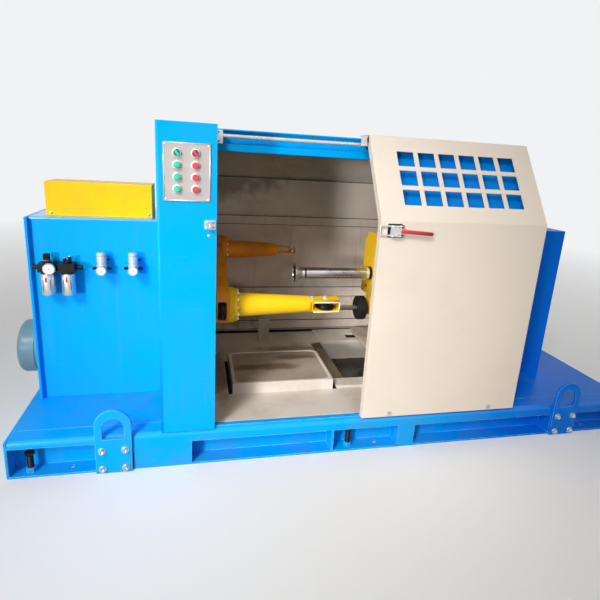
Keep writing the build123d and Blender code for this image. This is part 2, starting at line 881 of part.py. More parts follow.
def arm_bar(x0, x1, radius, radius_disc, mode=Mode.ADD):
    """A round bar along X at a radius on the rotor."""
    with BuildSketch(rotor_plane(x0)) as disc:
        with Locations((radius, 0)):
            Circle(radius_disc)
    extrude(disc.sketch, amount=x1 - x0, mode=mode)


def arm_block(x0, x1, u0, u1, v0, v1, mode=Mode.ADD):
    """A box in the rotor's own directions: u along the arm's radius, v along its tangent."""
    with BuildSketch(rotor_plane(x0)) as outline:
        with Locations(((u0 + u1) / 2, (v0 + v1) / 2)):
            Rectangle(u1 - u0, v1 - v0)
    extrude(outline.sketch, amount=x1 - x0, mode=mode)


def cross_pin(x, radius, v0, v1, pin, mode=Mode.ADD):
    """A round pin along the arm's tangent, from v0 to v1."""
    with BuildSketch(tangent_plane(x, radius, v0)) as disc:
        Circle(pin)
    extrude(disc.sketch, amount=v1 - v0, mode=mode)


with BuildPart() as rotor_hub:
    with BuildSketch(rotor_plane(hub_left)):
        Circle(hub_radius)
        with Locations((arm_radius, 0), (-arm_radius, 0)):
            Circle(hub_end_radius)
        make_hull()
    extrude(amount=hub_thickness)
    rod_x(hub_left - shaft_length, hub_left, 0, axis_height, shaft_radius)
    rod_x(hub_right, hub_right + hub_nose, 0, axis_height, hub_nose_radius)
save(rotor_hub, "rotor_hub")

arm_specs = (("front_flyer_arm", 1, arm_length), ("rear_flyer_arm", -1, rear_arm_length))
for arm_name, arm_side, tube_length in arm_specs:
    with BuildPart() as arm:
        arm_bar(hub_right, hub_right + flange_step, arm_side * arm_radius, flange_radius)
        arm_bar(hub_right, hub_right + flange_length, arm_side * arm_radius, flange_step_radius)
        root_x = hub_right + flange_length
        with Locations(Location(rotor_plane(root_x)) * Location((arm_side * arm_radius, 0, 0))):
            Cone(arm_root_radius, arm_tip_radius, tube_length,
                 align=(Align.CENTER, Align.CENTER, Align.MIN))
    save(arm, arm_name)

# Front fork: a strap bent round the guide pulley, with the pulley's pin across it
fork_left = hub_right + flange_length + arm_length
fork_right = fork_left + fork_length
pulley_x = fork_left + pulley_offset
half_gap = fork_gap / 2
with BuildPart() as front_fork:
    low_u = arm_radius - fork_width / 2
    high_u = arm_radius + fork_width / 2
    strap_reach = half_gap + fork_cheek
    arm_block(fork_left, fork_left + fork_root, low_u, high_u, -strap_reach, strap_reach)
    arm_block(fork_right - fork_web, fork_right, low_u, high_u, -strap_reach, strap_reach)
    for cheek_low in (-half_gap - fork_cheek, half_gap):
        arm_block(fork_left, fork_right, low_u, high_u, cheek_low, cheek_low + fork_cheek)
    pin_reach = strap_reach + pin_head
    cross_pin(pulley_x, arm_radius, -pin_reach, pin_reach, axle_radius)
save(front_fork, "front_fork")

with BuildPart() as guide_pulley:
    half_pulley = pulley_width / 2
    cross_pin(pulley_x, arm_radius, -half_pulley, half_pulley, pulley_radius - pulley_groove)
    cross_pin(pulley_x, arm_radius, -half_pulley, -half_pulley + pulley_rim, pulley_radius)
    cross_pin(pulley_x, arm_radius, half_pulley - pulley_rim, half_pulley, pulley_radius)
    cross_pin(pulley_x, arm_radius, -half_pulley, half_pulley, axle_radius + running_clearance,
              mode=Mode.SUBTRACT)
save(guide_pulley, "guide_pulley")

# Rear fork: two slim legs with a guide roller between their ends
rear_left = hub_right + flange_length + rear_arm_length
rear_right = rear_left + rear_fork_length
roller_x = rear_left + roller_offset
rear_half_gap = rear_gap / 2
with BuildPart() as rear_fork:
    low_u = -arm_radius - rear_fork_width / 2
    high_u = -arm_radius + rear_fork_width / 2
    leg_reach = rear_half_gap + rear_cheek
    arm_block(rear_left, rear_left + fork_root, low_u, high_u, -leg_reach, leg_reach)
    for cheek_low in (-rear_half_gap - rear_cheek, rear_half_gap):
        arm_block(rear_left, rear_right, low_u, high_u, cheek_low, cheek_low + rear_cheek)
    cross_pin(roller_x, -arm_radius, -leg_reach - pin_head, leg_reach + pin_head, axle_radius)
save(rear_fork, "rear_fork")

with BuildPart() as guide_roller:
    half_roller = rear_roller_width / 2
    cross_pin(roller_x, -arm_radius, -half_roller, half_roller, rear_roller_radius)
    cross_pin(roller_x, -arm_radius, -half_roller, half_roller, axle_radius + running_clearance,
              mode=Mode.SUBTRACT)
save(guide_roller, "guide_roller")

# Take-up spindle: a plain shaft with a flared end and a belt pulley behind the carriage
carriage_x1 = end_wall_left - carriage_gap
carriage_x0 = carriage_x1 - carriage_length
tower_x0 = carriage_x0 + tower_inset
tower_x1 = tower_x0 + tower_length
driver_x = carriage_x0 - driver_gap - driver_plate
tip_x = driver_x - spindle_reach
collar_x = tip_x + flare_length
groove_x0 = collar_x + collar_length
groove_x1 = groove_x0 + groove_width
spindle_end = tower_x1 + spindle_tail
shaft_top = axis_height + spindle_radius
with BuildPart() as takeup_spindle:
    with BuildSketch(Plane.XZ):
        with BuildLine():
            Polyline((tip_x, axis_height), (tip_x, axis_height + flare_radius),
                     (tip_x + flare_rim, axis_height + flare_radius), (collar_x, shaft_top + collar_step),
                     (groove_x0, shaft_top + collar_step), (groove_x0, shaft_top - groove_depth),
                     (groove_x1, shaft_top - groove_depth), (groove_x1, shaft_top),
                     (spindle_end, shaft_top), (spindle_end, axis_height), close=True)
        make_face()
    revolve(axis=Axis((0, 0, axis_height), (1, 0, 0)))
    rod_x(spindle_end - spindle_pulley_width, spindle_end, 0, axis_height, spindle_pulley_radius)
save(takeup_spindle, "takeup_spindle")

# Driver plate on the spindle, with the drive pin and its rubber buffer
driver_low = axis_height - driver_drop
driver_top = axis_height + driver_rise
pin_z = axis_height - pin_circle
tongue_low = pin_z - tongue_half_width
with BuildPart() as driver:
    with BuildSketch(Plane.YZ.offset(driver_x)):
        with BuildLine():
            Polyline((-driver_half_width, driver_low), (-tongue_half_width, driver_low),
                     (-tongue_half_width, tongue_low), (tongue_half_width, tongue_low),
                     (tongue_half_width, driver_low), (driver_half_width, driver_low),
                     (driver_half_width, driver_top - driver_chamfer),
                     (driver_half_width - driver_chamfer, driver_top),
                     (-driver_half_width + driver_chamfer, driver_top),
                     (-driver_half_width, driver_top - driver_chamfer), close=True)
        make_face()
    extrude(amount=driver_plate)
    rod_x(driver_x, driver_x + driver_plate, 0, axis_height, spindle_radius, mode=Mode.SUBTRACT)
    rod_x(driver_x, driver_x + driver_plate, 0, pin_z, pin_radius, mode=Mode.SUBTRACT)
save(driver, "driver_plate")

buffer_x = driver_x - buffer_start
with BuildPart() as drive_pin:
    rod_x(driver_x - pin_length, driver_x + driver_plate, 0, pin_z, pin_radius)
save(drive_pin, "drive_pin")

with BuildPart() as rubber_buffer:
    rod_x(buffer_x, buffer_x + buffer_length, 0, pin_z, buffer_radius)
    fillet(rubber_buffer.edges().filter_by(GeomType.CIRCLE), radius=buffer_round)
    rod_x(buffer_x, buffer_x + buffer_length, 0, pin_z, pin_radius, mode=Mode.SUBTRACT)
save(rubber_buffer, "rubber_buffer")

# Take-up carriage on its guides, with the quill that carries the spindle
carriage_low = guide_top + fit_gap
tower_low = carriage_low + carriage_plate
with BuildPart() as carriage:
    block(carriage_x0, carriage_x1, carriage_rear - carriage_width, carriage_rear,
          carriage_low, tower_low)
    block(tower_x0, tower_x1, -tower_width / 2, tower_width / 2, tower_low,
          axis_height + tower_rise)
    rod_x(tower_x0 - quill_nose, tower_x1 + quill_nose, 0, axis_height, quill_radius)
    rod_x(tower_x0 - quill_nose, tower_x1 + quill_nose, 0, axis_height,
          spindle_radius + running_clearance, mode=Mode.SUBTRACT)
save(carriage, "takeup_carriage")

# Air preparation units on the cabinet front
unit_face = cabinet_front - unit_standoff
frl_low = frl_centre_height - frl_body_height / 2
frl_high = frl_centre_height + frl_body_height / 2
frl_front = unit_face - frl_body_depth
frl_y = unit_face - frl_body_depth / 2
with BuildPart() as filter_regulator:
    first_x = cabinet_left + frl_first
    second_x = first_x + frl_spacing
    for body_x in (first_x, second_x):
        block(body_x - frl_block_width / 2, body_x + frl_block_width / 2, frl_front, unit_face,
              frl_low, frl_high)
        rod_z(frl_low - bowl_height, frl_low, body_x, frl_y, bowl_radius)
    block(first_x, second_x, frl_y - frl_link / 2, cabinet_front, frl_centre_height - frl_link / 2,
          frl_centre_height + frl_link / 2)
    rod_x(cabinet_left + frl_inlet, second_x + frl_outlet, frl_y, frl_centre_height, frl_port)
    rod_z(frl_high, frl_high + knob_height, first_x, frl_y, knob_radius)
    rod_z(frl_high, frl_high + dome_height, second_x, frl_y, dome_radius)
    rod_y(frl_front - gauge_depth, frl_front, first_x + gauge_shift, frl_centre_height, gauge_radius)
save(filter_regulator, "filter_regulator")

with BuildPart() as pressure_regulators:
    for unit in range(regulator_count):
        unit_x = cabinet_left + regulator_first + unit * regulator_spacing
        unit_y = unit_face - regulator_width / 2
        low = regulator_centre_height - regulator_height / 2
        rod_z(low, low + regulator_height, unit_x, unit_y, regulator_width / 2)
        block(unit_x - regulator_stem_width / 2, unit_x + regulator_stem_width / 2, unit_y, cabinet_front,
              low, low + regulator_stem_height)
        gauge_z = low + regulator_gauge_rise
        gauge_front = unit_y - regulator_width / 2 - regulator_gauge_reach
        rod_y(gauge_front, unit_y, unit_x, gauge_z, regulator_gauge_radius)
        rod_x(unit_x - regulator_port_reach, unit_x + regulator_port_reach, unit_y,
              gauge_z + regulator_port_rise, regulator_port)
save(pressure_regulators, "pressure_regulators")
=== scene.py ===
import json
import math

import bmesh
import bpy
from mathutils import Matrix, Vector

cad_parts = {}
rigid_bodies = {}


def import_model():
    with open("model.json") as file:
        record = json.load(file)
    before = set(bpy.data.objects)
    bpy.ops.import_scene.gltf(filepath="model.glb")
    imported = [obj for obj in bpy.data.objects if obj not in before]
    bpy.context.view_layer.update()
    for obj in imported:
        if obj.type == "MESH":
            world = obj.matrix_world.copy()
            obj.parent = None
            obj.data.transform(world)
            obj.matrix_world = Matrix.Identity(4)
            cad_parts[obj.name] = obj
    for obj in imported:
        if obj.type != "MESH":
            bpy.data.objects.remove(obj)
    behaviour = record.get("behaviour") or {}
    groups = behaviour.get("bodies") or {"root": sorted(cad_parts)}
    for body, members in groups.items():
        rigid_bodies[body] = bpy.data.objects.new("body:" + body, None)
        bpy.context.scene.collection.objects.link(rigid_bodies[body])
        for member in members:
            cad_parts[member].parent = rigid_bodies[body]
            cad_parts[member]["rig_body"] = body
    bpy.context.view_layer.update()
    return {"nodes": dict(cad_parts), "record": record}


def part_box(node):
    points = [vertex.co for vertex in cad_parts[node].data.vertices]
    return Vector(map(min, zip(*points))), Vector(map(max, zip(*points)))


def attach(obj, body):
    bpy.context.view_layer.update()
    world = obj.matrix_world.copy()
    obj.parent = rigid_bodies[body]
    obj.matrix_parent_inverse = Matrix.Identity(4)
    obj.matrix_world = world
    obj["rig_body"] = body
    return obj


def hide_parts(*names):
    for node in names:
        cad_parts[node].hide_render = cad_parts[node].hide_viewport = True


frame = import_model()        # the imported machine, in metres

nodes = frame["nodes"]
scene = bpy.context.scene
mm = 0.001
print("stage: frame loaded with", len(nodes), "nodes")


# camera: where the photographer stood, fitted to the machine's own edges
cameraValues = {
    "place": (-0.6906, -2.1763, 1.1844),
    "yaw": 13.142,
    "pitch": -14.706,
    "roll": 3.335,
    "lens": 27.8,
    "shiftY": -0.0322,
}


def makeCamera(values):
    yaw, pitch, roll = (math.radians(values[key]) for key in ("yaw", "pitch", "roll"))
    forward = Vector((math.sin(yaw) * math.cos(pitch), math.cos(yaw) * math.cos(pitch), math.sin(pitch)))
    level = Vector((math.cos(yaw), -math.sin(yaw), 0))
    upright = level.cross(forward)
    right = level * math.cos(roll) + upright * math.sin(roll)
    up = upright * math.cos(roll) - level * math.sin(roll)
    data = bpy.data.cameras.new("photographer")
    data.lens = values["lens"]
    data.sensor_width = 36
    data.shift_y = values["shiftY"]
    camera = bpy.data.objects.new("photographer", data)
    turn = Matrix((right, up, -forward)).transposed().to_4x4()
    camera.matrix_world = Matrix.Translation(values["place"]) @ turn
    scene.collection.objects.link(camera)
    scene.camera = camera


makeCamera(cameraValues)


# light: daylight through a tall opening at the left, low and high, that fades towards the right
lampValues = {
    "lowLamp": {"place": (-4.07, -5.13, 1.20), "power": 820, "radius": 0.35},
    "highLamp": {"place": (-3.34, -4.17, 4.29), "power": 1700, "radius": 1.10},
}
lightValues = {
    "aim": (-0.50, -0.40, 0.60),
    "beam": 26,
    "fade": 0.9,
    "colour": (1.0, 0.975, 0.94),
    "surround": (1.0, 0.98, 0.96),
    "surroundAim": (-0.66, -0.50, 0.56),
    "surroundLow": 0.07,
    "surroundHigh": 0.55,
    "backdrop": (0.88, 0.89, 0.90),
    "floorColour": (0.985, 0.98, 0.97),
    "floorBounce": (0.36, 0.36, 0.35),
    "glowNear": (1.6, 0.14),
    "glowFar": (7.0, 1.0),
}


def makeLamp(name, own, shared):
    data = bpy.data.lights.new(name, "SPOT")
    data.shadow_soft_size = own["radius"]
    data.spot_size = math.radians(shared["beam"])
    data.spot_blend = shared["fade"]
    data.energy = own["power"]
    data.color = shared["colour"]
    lamp = bpy.data.objects.new(name, data)
    lamp.location = own["place"]
    towards = Vector(shared["aim"]) - Vector(own["place"])
    lamp.rotation_euler = towards.to_track_quat("-Z", "Y").to_euler()
    scene.collection.objects.link(lamp)


def place(tree, kind, inputs=None, **settings):
    # adds a node; an input is either a plain value or another node's socket
    made = tree.nodes.new(kind)
    for key, value in settings.items():
        setattr(made, key, value)
    for key, value in (inputs or {}).items():
        if isinstance(value, bpy.types.NodeSocket):
            tree.links.new(value, made.inputs[key])
        else:
            made.inputs[key].default_value = value
    return made


def raysThatShow(tree):
    # 1 where a ray shows the place itself, directly or in metal and glass; 0 where it only brings light
    rays = place(tree, "ShaderNodeLightPath").outputs
    seen = place(tree, "ShaderNodeMath", {0: rays["Is Camera Ray"], 1: rays["Is Glossy Ray"]}, operation="MAXIMUM")
    return place(tree, "ShaderNodeMath", {0: seen.outputs[0], 1: rays["Is Transmission Ray"]},
                 operation="MAXIMUM").outputs[0]


def makeSurround(values):
    world = bpy.data.worlds.new("surround")
    world.use_nodes = True
    tree = world.node_tree
    tree.nodes.clear()
    where = place(tree, "ShaderNodeTexCoord").outputs["Generated"]
    towards = place(tree, "ShaderNodeVectorMath", {0: where, 1: values["surroundAim"]}, operation="DOT_PRODUCT")
    strength = place(tree, "ShaderNodeMapRange", {"Value": towards.outputs["Value"], "From Min": -0.4,
                                                  "From Max": 0.9, "To Min": values["surroundLow"],
                                                  "To Max": values["surroundHigh"]})
    lit = place(tree, "ShaderNodeBackground", {"Color": (*values["surround"], 1),
                                               "Strength": strength.outputs["Result"]})
    shown = place(tree, "ShaderNodeBackground", {"Color": (*values["backdrop"], 1), "Strength": 1.0})
    mixed = place(tree, "ShaderNodeMixShader", {0: raysThatShow(tree), 1: lit.outputs[0], 2: shown.outputs[0]})
    place(tree, "ShaderNodeOutputWorld", {"Surface": mixed.outputs[0]})
    scene.world = world


def makeFloor(values):
    # pale to look at, but it throws back only as much light as a shop's concrete floor
    material = bpy.data.materials.new("paleFloor")
    material.use_nodes = True
    tree = material.node_tree
    shader = tree.nodes["Principled BSDF"].inputs
    seen = raysThatShow(tree)
    tone = place(tree, "ShaderNodeMix", {0: seen}, data_type="RGBA")
    tone.inputs[6].default_value = (*values["floorBounce"], 1)
    tone.inputs[7].default_value = (*values["floorColour"], 1)
    tree.links.new(tone.outputs[2], shader["Base Color"])
    shader["Roughness"].default_value = 0.6
    glow = place(tree, "ShaderNodeEmission", {"Color": (*values["backdrop"], 1), "Strength": 1.0})
    where = place(tree, "ShaderNodeTexCoord").outputs["Object"]
    away = place(tree, "ShaderNodeVectorMath", {0: where}, operation="LENGTH")
    (near, nearGlow), (far, farGlow) = values["glowNear"], values["glowFar"]
    fading = place(tree, "ShaderNodeMapRange", {"Value": away.outputs["Value"], "From Min": near, "From Max": far,
                                                "To Min": nearGlow, "To Max": farGlow})
    share = place(tree, "ShaderNodeMath", {0: seen, 1: fading.outputs["Result"]}, operation="MULTIPLY")
    shown = place(tree, "ShaderNodeMixShader", {0: share.outputs[0], 1: tree.nodes["Principled BSDF"].outputs[0],
                                                2: glow.outputs[0]})
    tree.links.new(shown.outputs[0], tree.nodes["Material Output"].inputs["Surface"])
    reach = 30
    mesh = bpy.data.meshes.new("studioFloor")
    mesh.from_pydata([(-reach, -reach, 0), (reach, -reach, 0), (reach, reach, 0), (-reach, reach, 0)], [],
                     [(0, 1, 2, 3)])
    mesh.materials.append(material)
    floor = bpy.data.objects.new("studioFloor", mesh)
    scene.collection.objects.link(floor)


for lampName, values in lampValues.items():
    makeLamp(lampName, values, lightValues)
makeSurround(lightValues)
makeFloor(lightValues)
scene.view_settings.view_transform = "Standard"
print("stage: camera, lamps and floor")


# shader groups shared by the finishes
def startGroup(name, inputs, outputs):
    group = bpy.data.node_groups.new(name, "ShaderNodeTree")
    for label, kind, value in inputs:
        socket = group.interface.new_socket(label, in_out="INPUT", socket_type=kind)
        socket.default_value = value
    for label, kind in outputs:
        group.interface.new_socket(label, in_out="OUTPUT", socket_type=kind)
    return group, group.nodes.new("NodeGroupInput").outputs, group.nodes.new("NodeGroupOutput").inputs


def span(tree, value, low, high, toLow=0.0, toHigh=1.0):
    # maps low to high onto toLow to toHigh, clamped and eased
    return place(tree, "ShaderNodeMapRange", {"Value": value, "From Min": low, "From Max": high,
                                              "To Min": toLow, "To Max": toHigh},
                 interpolation_type="SMOOTHSTEP").outputs["Result"]


def times(tree, first, second, operation="MULTIPLY"):
    return place(tree, "ShaderNodeMath", {0: first, 1: second}, operation=operation, use_clamp=True).outputs[0]


def makeEdgeWear():
    # a patchy mask along outer edges, where paint rubs through
    group, given, out = startGroup("edgeWear", [("Radius", "NodeSocketFloat", 0.003),
                                                ("Patch Scale", "NodeSocketFloat", 14.0),
                                                ("Amount", "NodeSocketFloat", 0.5)],
                                   [("Mask", "NodeSocketFloat")])
    rounded = place(group, "ShaderNodeBevel", {"Radius": given["Radius"]}, samples=4)
    plain = place(group, "ShaderNodeNewGeometry")
    facing = place(group, "ShaderNodeVectorMath", {0: rounded.outputs[0], 1: plain.outputs["Normal"]},
                   operation="DOT_PRODUCT")
    edge = span(group, facing.outputs["Value"], 0.995, 0.82)
    where = place(group, "ShaderNodeTexCoord").outputs["Object"]
    patches = place(group, "ShaderNodeTexNoise", {"Vector": where, "Scale": given["Patch Scale"], "Detail": 6.0,
                                                  "Roughness": 0.7})
    chosen = place(group, "ShaderNodeMath", {0: patches.outputs["Fac"], 1: given["Amount"]}, operation="ADD")
    spots = span(group, chosen.outputs[0], 0.95, 1.1)
    group.links.new(times(group, edge, spots), out["Mask"])
    return group


def makeGrime():
    # dust in clouds, runs that follow gravity and fine scratches
    group, given, out = startGroup("grime", [("Scale", "NodeSocketFloat", 3.0)],
                                   [("Cloud", "NodeSocketFloat"), ("Runs", "NodeSocketFloat"),
                                    ("Scratches", "NodeSocketFloat")])
    where = place(group, "ShaderNodeTexCoord").outputs["Object"]
    cloud = place(group, "ShaderNodeTexNoise", {"Vector": where, "Scale": given["Scale"], "Detail": 8.0,
                                                "Roughness": 0.62, "Distortion": 0.4})
    group.links.new(span(group, cloud.outputs["Fac"], 0.42, 0.72), out["Cloud"])
    tall = place(group, "ShaderNodeMapping", {"Vector": where, "Scale": (34.0, 34.0, 1.6)})
    runs = place(group, "ShaderNodeTexNoise", {"Vector": tall.outputs[0], "Scale": 1.0, "Detail": 4.0})
    thin = span(group, runs.outputs["Fac"], 0.56, 0.74)
    group.links.new(times(group, thin, span(group, cloud.outputs["Fac"], 0.4, 0.6)), out["Runs"])
    turned = place(group, "ShaderNodeMapping", {"Vector": where, "Rotation": (0.5, 0.9, 0.3),
                                                "Scale": (9.0, 260.0, 180.0)})
    lines = place(group, "ShaderNodeTexNoise", {"Vector": turned.outputs[0], "Scale": 1.0, "Detail": 2.0})
    group.links.new(span(group, lines.outputs["Fac"], 0.71, 0.76), out["Scratches"])
    return group


def makeSkin():
    # the fine waviness of sprayed sheet metal
    group, given, out = startGroup("sprayedSkin", [("Peel Scale", "NodeSocketFloat", 420.0),
                                                   ("Sheet Scale", "NodeSocketFloat", 4.0)],
                                   [("Height", "NodeSocketFloat")])
    where = place(group, "ShaderNodeTexCoord").outputs["Object"]
    peel = place(group, "ShaderNodeTexNoise", {"Vector": where, "Scale": given["Peel Scale"], "Detail": 2.0})
    sheet = place(group, "ShaderNodeTexNoise", {"Vector": where, "Scale": given["Sheet Scale"], "Detail": 1.0})
    fine = place(group, "ShaderNodeMath", {0: peel.outputs["Fac"], 1: 0.04}, operation="MULTIPLY")
    both = place(group, "ShaderNodeMath", {0: fine.outputs[0], 1: sheet.outputs["Fac"]}, operation="ADD")
    group.links.new(both.outputs[0], out["Height"])
    return group


def makeBrushed():
    # fine lines along one direction, for turned and brushed metal
    group, given, out = startGroup("brushedLines", [("Stretch", "NodeSocketVector", (900.0, 20.0, 900.0))],
                                   [("Lines", "NodeSocketFloat"), ("Smudge", "NodeSocketFloat")])
    where = place(group, "ShaderNodeTexCoord").outputs["Object"]
    drawn = place(group, "ShaderNodeVectorMath", {0: where, 1: given["Stretch"]}, operation="MULTIPLY")
    lines = place(group, "ShaderNodeTexNoise", {"Vector": drawn.outputs[0], "Scale": 1.0, "Detail": 3.0})
    group.links.new(lines.outputs["Fac"], out["Lines"])
    smudge = place(group, "ShaderNodeTexNoise", {"Vector": where, "Scale": 18.0, "Detail": 5.0})
    group.links.new(span(group, smudge.outputs["Fac"], 0.35, 0.7), out["Smudge"])
    return group


def makeStainAndShadeBlot():
    # a blot round a place, with a ragged rim: spilt oil on floors, and painted shade on the liner
    group, given, out = startGroup("stainAndShadeBlot", [("Centre", "NodeSocketVector", (0, 0, 0)),
                                                ("Size", "NodeSocketVector", (0.1, 0.1, 0.1))],
                                   [("Mask", "NodeSocketFloat")])
    where = place(group, "ShaderNodeTexCoord").outputs["Object"]
    apart = place(group, "ShaderNodeVectorMath", {0: where, 1: given["Centre"]}, operation="SUBTRACT")
    shares = place(group, "ShaderNodeVectorMath", {0: apart.outputs[0], 1: given["Size"]}, operation="DIVIDE")
    reach = place(group, "ShaderNodeVectorMath", {0: shares.outputs[0]}, operation="LENGTH")
    ragged = place(group, "ShaderNodeTexNoise", {"Vector": where, "Scale": 11.0, "Detail": 6.0, "Roughness": 0.6})
    edge = place(group, "ShaderNodeMath", {0: ragged.outputs["Fac"], 1: 1.3, 2: reach.outputs["Value"]},
                 operation="MULTIPLY_ADD")
    group.links.new(span(group, edge.outputs[0], 1.65, 1.05), out["Mask"])
    return group


edgeWear = makeEdgeWear()
stainAndShadeBlot = makeStainAndShadeBlot()
grime = makeGrime()
sprayedSkin = makeSkin()
brushedLines = makeBrushed()


def mixColour(tree, factor, first, second, blend="MIX"):
    made = place(tree, "ShaderNodeMix", data_type="RGBA", blend_type=blend)
    for socket, value in ((made.inputs[0], factor), (made.inputs[6], first), (made.inputs[7], second)):
        if isinstance(value, bpy.types.NodeSocket):
            tree.links.new(value, socket)
        elif isinstance(value, tuple):
            socket.default_value = (*value, 1)
        else:
            socket.default_value = value
    return made.outputs[2]


def startMaterial(name):
    material = bpy.data.materials.new(name)
    material.use_nodes = True
    tree = material.node_tree
    return material, tree, tree.nodes["Principled BSDF"].inputs


def bumpInto(tree, shader, height, strength, distance):
    bump = place(tree, "ShaderNodeBump", {"Height": height, "Strength": strength, "Distance": distance})
    tree.links.new(bump.outputs[0], shader["Normal"])


# sprayed paints: colour, the colour of dust and of what shows where it is rubbed
paintValues = {
    "bluePaint": {"colour": (0.0, 0.405, 0.95), "deep": (0.0, 0.37, 0.92), "dust": (0.20, 0.50, 0.72),
                  "worn": (0.25, 0.62, 0.92), "dusty": 0.05, "runs": 0.05, "rubbed": 0.40, "rough": 0.26,
                  "coat": 0.0, "shine": 0.06, "cloudScale": 2.2},
    # baseBlue turns to a deeper blue towards the right end, as painted shade
    "baseBlue": {"colour": (0.0, 0.405, 0.93), "deep": (0.0, 0.33, 0.86), "dust": (0.24, 0.42, 0.55),
                 "worn": (0.42, 0.72, 0.94), "dusty": 0.14, "runs": 0.10, "rubbed": 0.58, "rough": 0.28,
                 "coat": 0.0, "shine": 0.10, "cloudScale": 4.5, "shadedRightEnd": (0.0, 0.19, 0.80), "fade": (0.05, 0.9)},
    # two shaded copies of the blue, as painted shade: one for the fixed panel behind the door, a deeper one for the
    # tail cabinet and the right end wall
    "shadedBlue": {"colour": (0.0, 0.25, 0.78), "deep": (0.0, 0.21, 0.72), "dust": (0.16, 0.34, 0.55),
                 "worn": (0.20, 0.50, 0.86), "dusty": 0.05, "runs": 0.05, "rubbed": 0.40, "rough": 0.28,
                 "coat": 0.0, "shine": 0.12, "cloudScale": 2.2},
    "endShadedBlue": {"colour": (0.0, 0.165, 0.76), "deep": (0.0, 0.135, 0.70), "dust": (0.10, 0.26, 0.52),
                "worn": (0.20, 0.45, 0.86), "dusty": 0.05, "runs": 0.05, "rubbed": 0.40, "rough": 0.28,
                "coat": 0.0, "shine": 0.05, "cloudScale": 2.2},
    "creamPaint": {"colour": (0.86, 0.765, 0.665), "deep": (0.83, 0.73, 0.63), "dust": (0.62, 0.55, 0.47),
                   "worn": (0.93, 0.88, 0.82), "dusty": 0.08, "runs": 0.07, "rubbed": 0.38, "rough": 0.38,
                   "coat": 0.1, "cloudScale": 2.0},
    "yellowPaint": {"colour": (0.95, 0.60, 0.010), "deep": (0.93, 0.54, 0.01), "dust": (0.52, 0.36, 0.12),
                    "worn": (0.95, 0.85, 0.55), "dusty": 0.06, "runs": 0.05, "rubbed": 0.42, "rough": 0.30,
                    "coat": 0.0, "shine": 0.15, "cloudScale": 6.0},
    # a darker orange copy of the yellow, as painted shade, for the hub, the rear arm and the rear fork
    "shadedYellowPaint": {"colour": (0.95, 0.36, 0.018), "deep": (0.90, 0.29, 0.01), "dust": (0.32, 0.15, 0.05),
                   "worn": (0.95, 0.70, 0.35), "dusty": 0.16, "runs": 0.08, "rubbed": 0.42, "rough": 0.30,
                   "coat": 0.0, "shine": 0.2, "cloudScale": 6.0},
    # the liner's beige is paler than the same paint elsewhere, as painted light, and its darker blots at the left and
    # along the top are painted shade
    "linerLitAndShadedBeige": {"colour": (0.84, 0.75, 0.67), "deep": (0.78, 0.68, 0.59), "dust": (0.27, 0.18, 0.11),
                   "worn": (0.88, 0.85, 0.82), "dusty": 0.22, "runs": 0.20, "rubbed": 0.56, "rough": 0.36,
                   "coat": 0.1, "cloudScale": 2.4,
                   "stainsAndShade": (((-0.50, 0.487, 1.12), (0.36, 0.1, 0.24)), ((0.10, 0.487, 1.16), (0.50, 0.1, 0.07)),
                              ((-0.55, 0.487, 0.30), (0.34, 0.1, 0.22)))},
    "beigePaint": {"colour": (0.62, 0.555, 0.495), "deep": (0.54, 0.46, 0.39), "dust": (0.27, 0.18, 0.11),
                   "worn": (0.76, 0.73, 0.70), "dusty": 0.42, "runs": 0.30, "rubbed": 0.56, "rough": 0.36,
                   "coat": 0.1, "cloudScale": 2.4},
    # the floor's pale worn colour along edges stands partly for wear and partly for a painted highlight on the rims
    "floorBeige": {"colour": (0.74, 0.69, 0.64), "deep": (0.66, 0.60, 0.54), "dust": (0.27, 0.18, 0.11),
                   "worn": (0.92, 0.90, 0.88), "dusty": 0.20, "runs": 0.0, "rubbed": 0.60, "rough": 0.34,
                   "coat": 0.1, "cloudScale": 3.4,
                   "stainsAndShade": (((-0.36, -0.11, 0.203), (0.21, 0.05, 0.06)), ((-0.20, -0.03, 0.203), (0.15, 0.035, 0.06)),
                              ((-0.16, 0.16, 0.151), (0.24, 0.10, 0.04)), ((-0.01, 0.05, 0.155), (0.05, 0.30, 0.03)),
                              ((-0.58, -0.10, 0.151), (0.06, 0.32, 0.04)))},
    # a darker beige for the platform's sunk top and its left side: oil stains, and painted shade where the light does
    # not reach
    "oiledAndShadedBeige": {"colour": (0.46, 0.40, 0.33), "deep": (0.36, 0.29, 0.22), "dust": (0.15, 0.09, 0.05),
                   "worn": (0.80, 0.77, 0.74), "dusty": 0.35, "runs": 0.0, "rubbed": 0.60, "rough": 0.30,
                   "coat": 0.1, "cloudScale": 3.4,
                   "stainsAndShade": (((-0.36, -0.13, 0.203), (0.23, 0.05, 0.06)), ((-0.20, -0.03, 0.203), (0.15, 0.04, 0.06)))},
    "flapBrown": {"colour": (0.17, 0.125, 0.075), "deep": (0.11, 0.080, 0.045), "dust": (0.06, 0.04, 0.025),
                 "worn": (0.60, 0.55, 0.50), "dusty": 0.4, "runs": 0.0, "rubbed": 0.60, "rough": 0.30,
                 "coat": 0.1, "cloudScale": 4.0},
    # a near-black beige for the loading pit's inside, as painted shade
    "pitShadeBeige": {"colour": (0.045, 0.036, 0.026), "deep": (0.020, 0.016, 0.012), "dust": (0.010, 0.008, 0.006),
                  "worn": (0.40, 0.36, 0.32), "dusty": 0.5, "runs": 0.3, "rubbed": 0.50, "rough": 0.25,
                  "coat": 0.1, "cloudScale": 5.0},
    "greyPaint": {"colour": (0.18, 0.33, 0.41), "deep": (0.14, 0.26, 0.33), "dust": (0.20, 0.22, 0.22),
                  "worn": (0.65, 0.67, 0.68), "dusty": 0.20, "runs": 0.12, "rubbed": 0.45, "rough": 0.34,
                  "coat": 0.1, "cloudScale": 6.0},
}
# bends and tops where the same paint shines
paintValues["glossBlue"] = {**paintValues["bluePaint"], "coat": 1.0, "coatIor": 2.6}
paintValues["glossBase"] = {**paintValues["baseBlue"], "coat": 0.5}


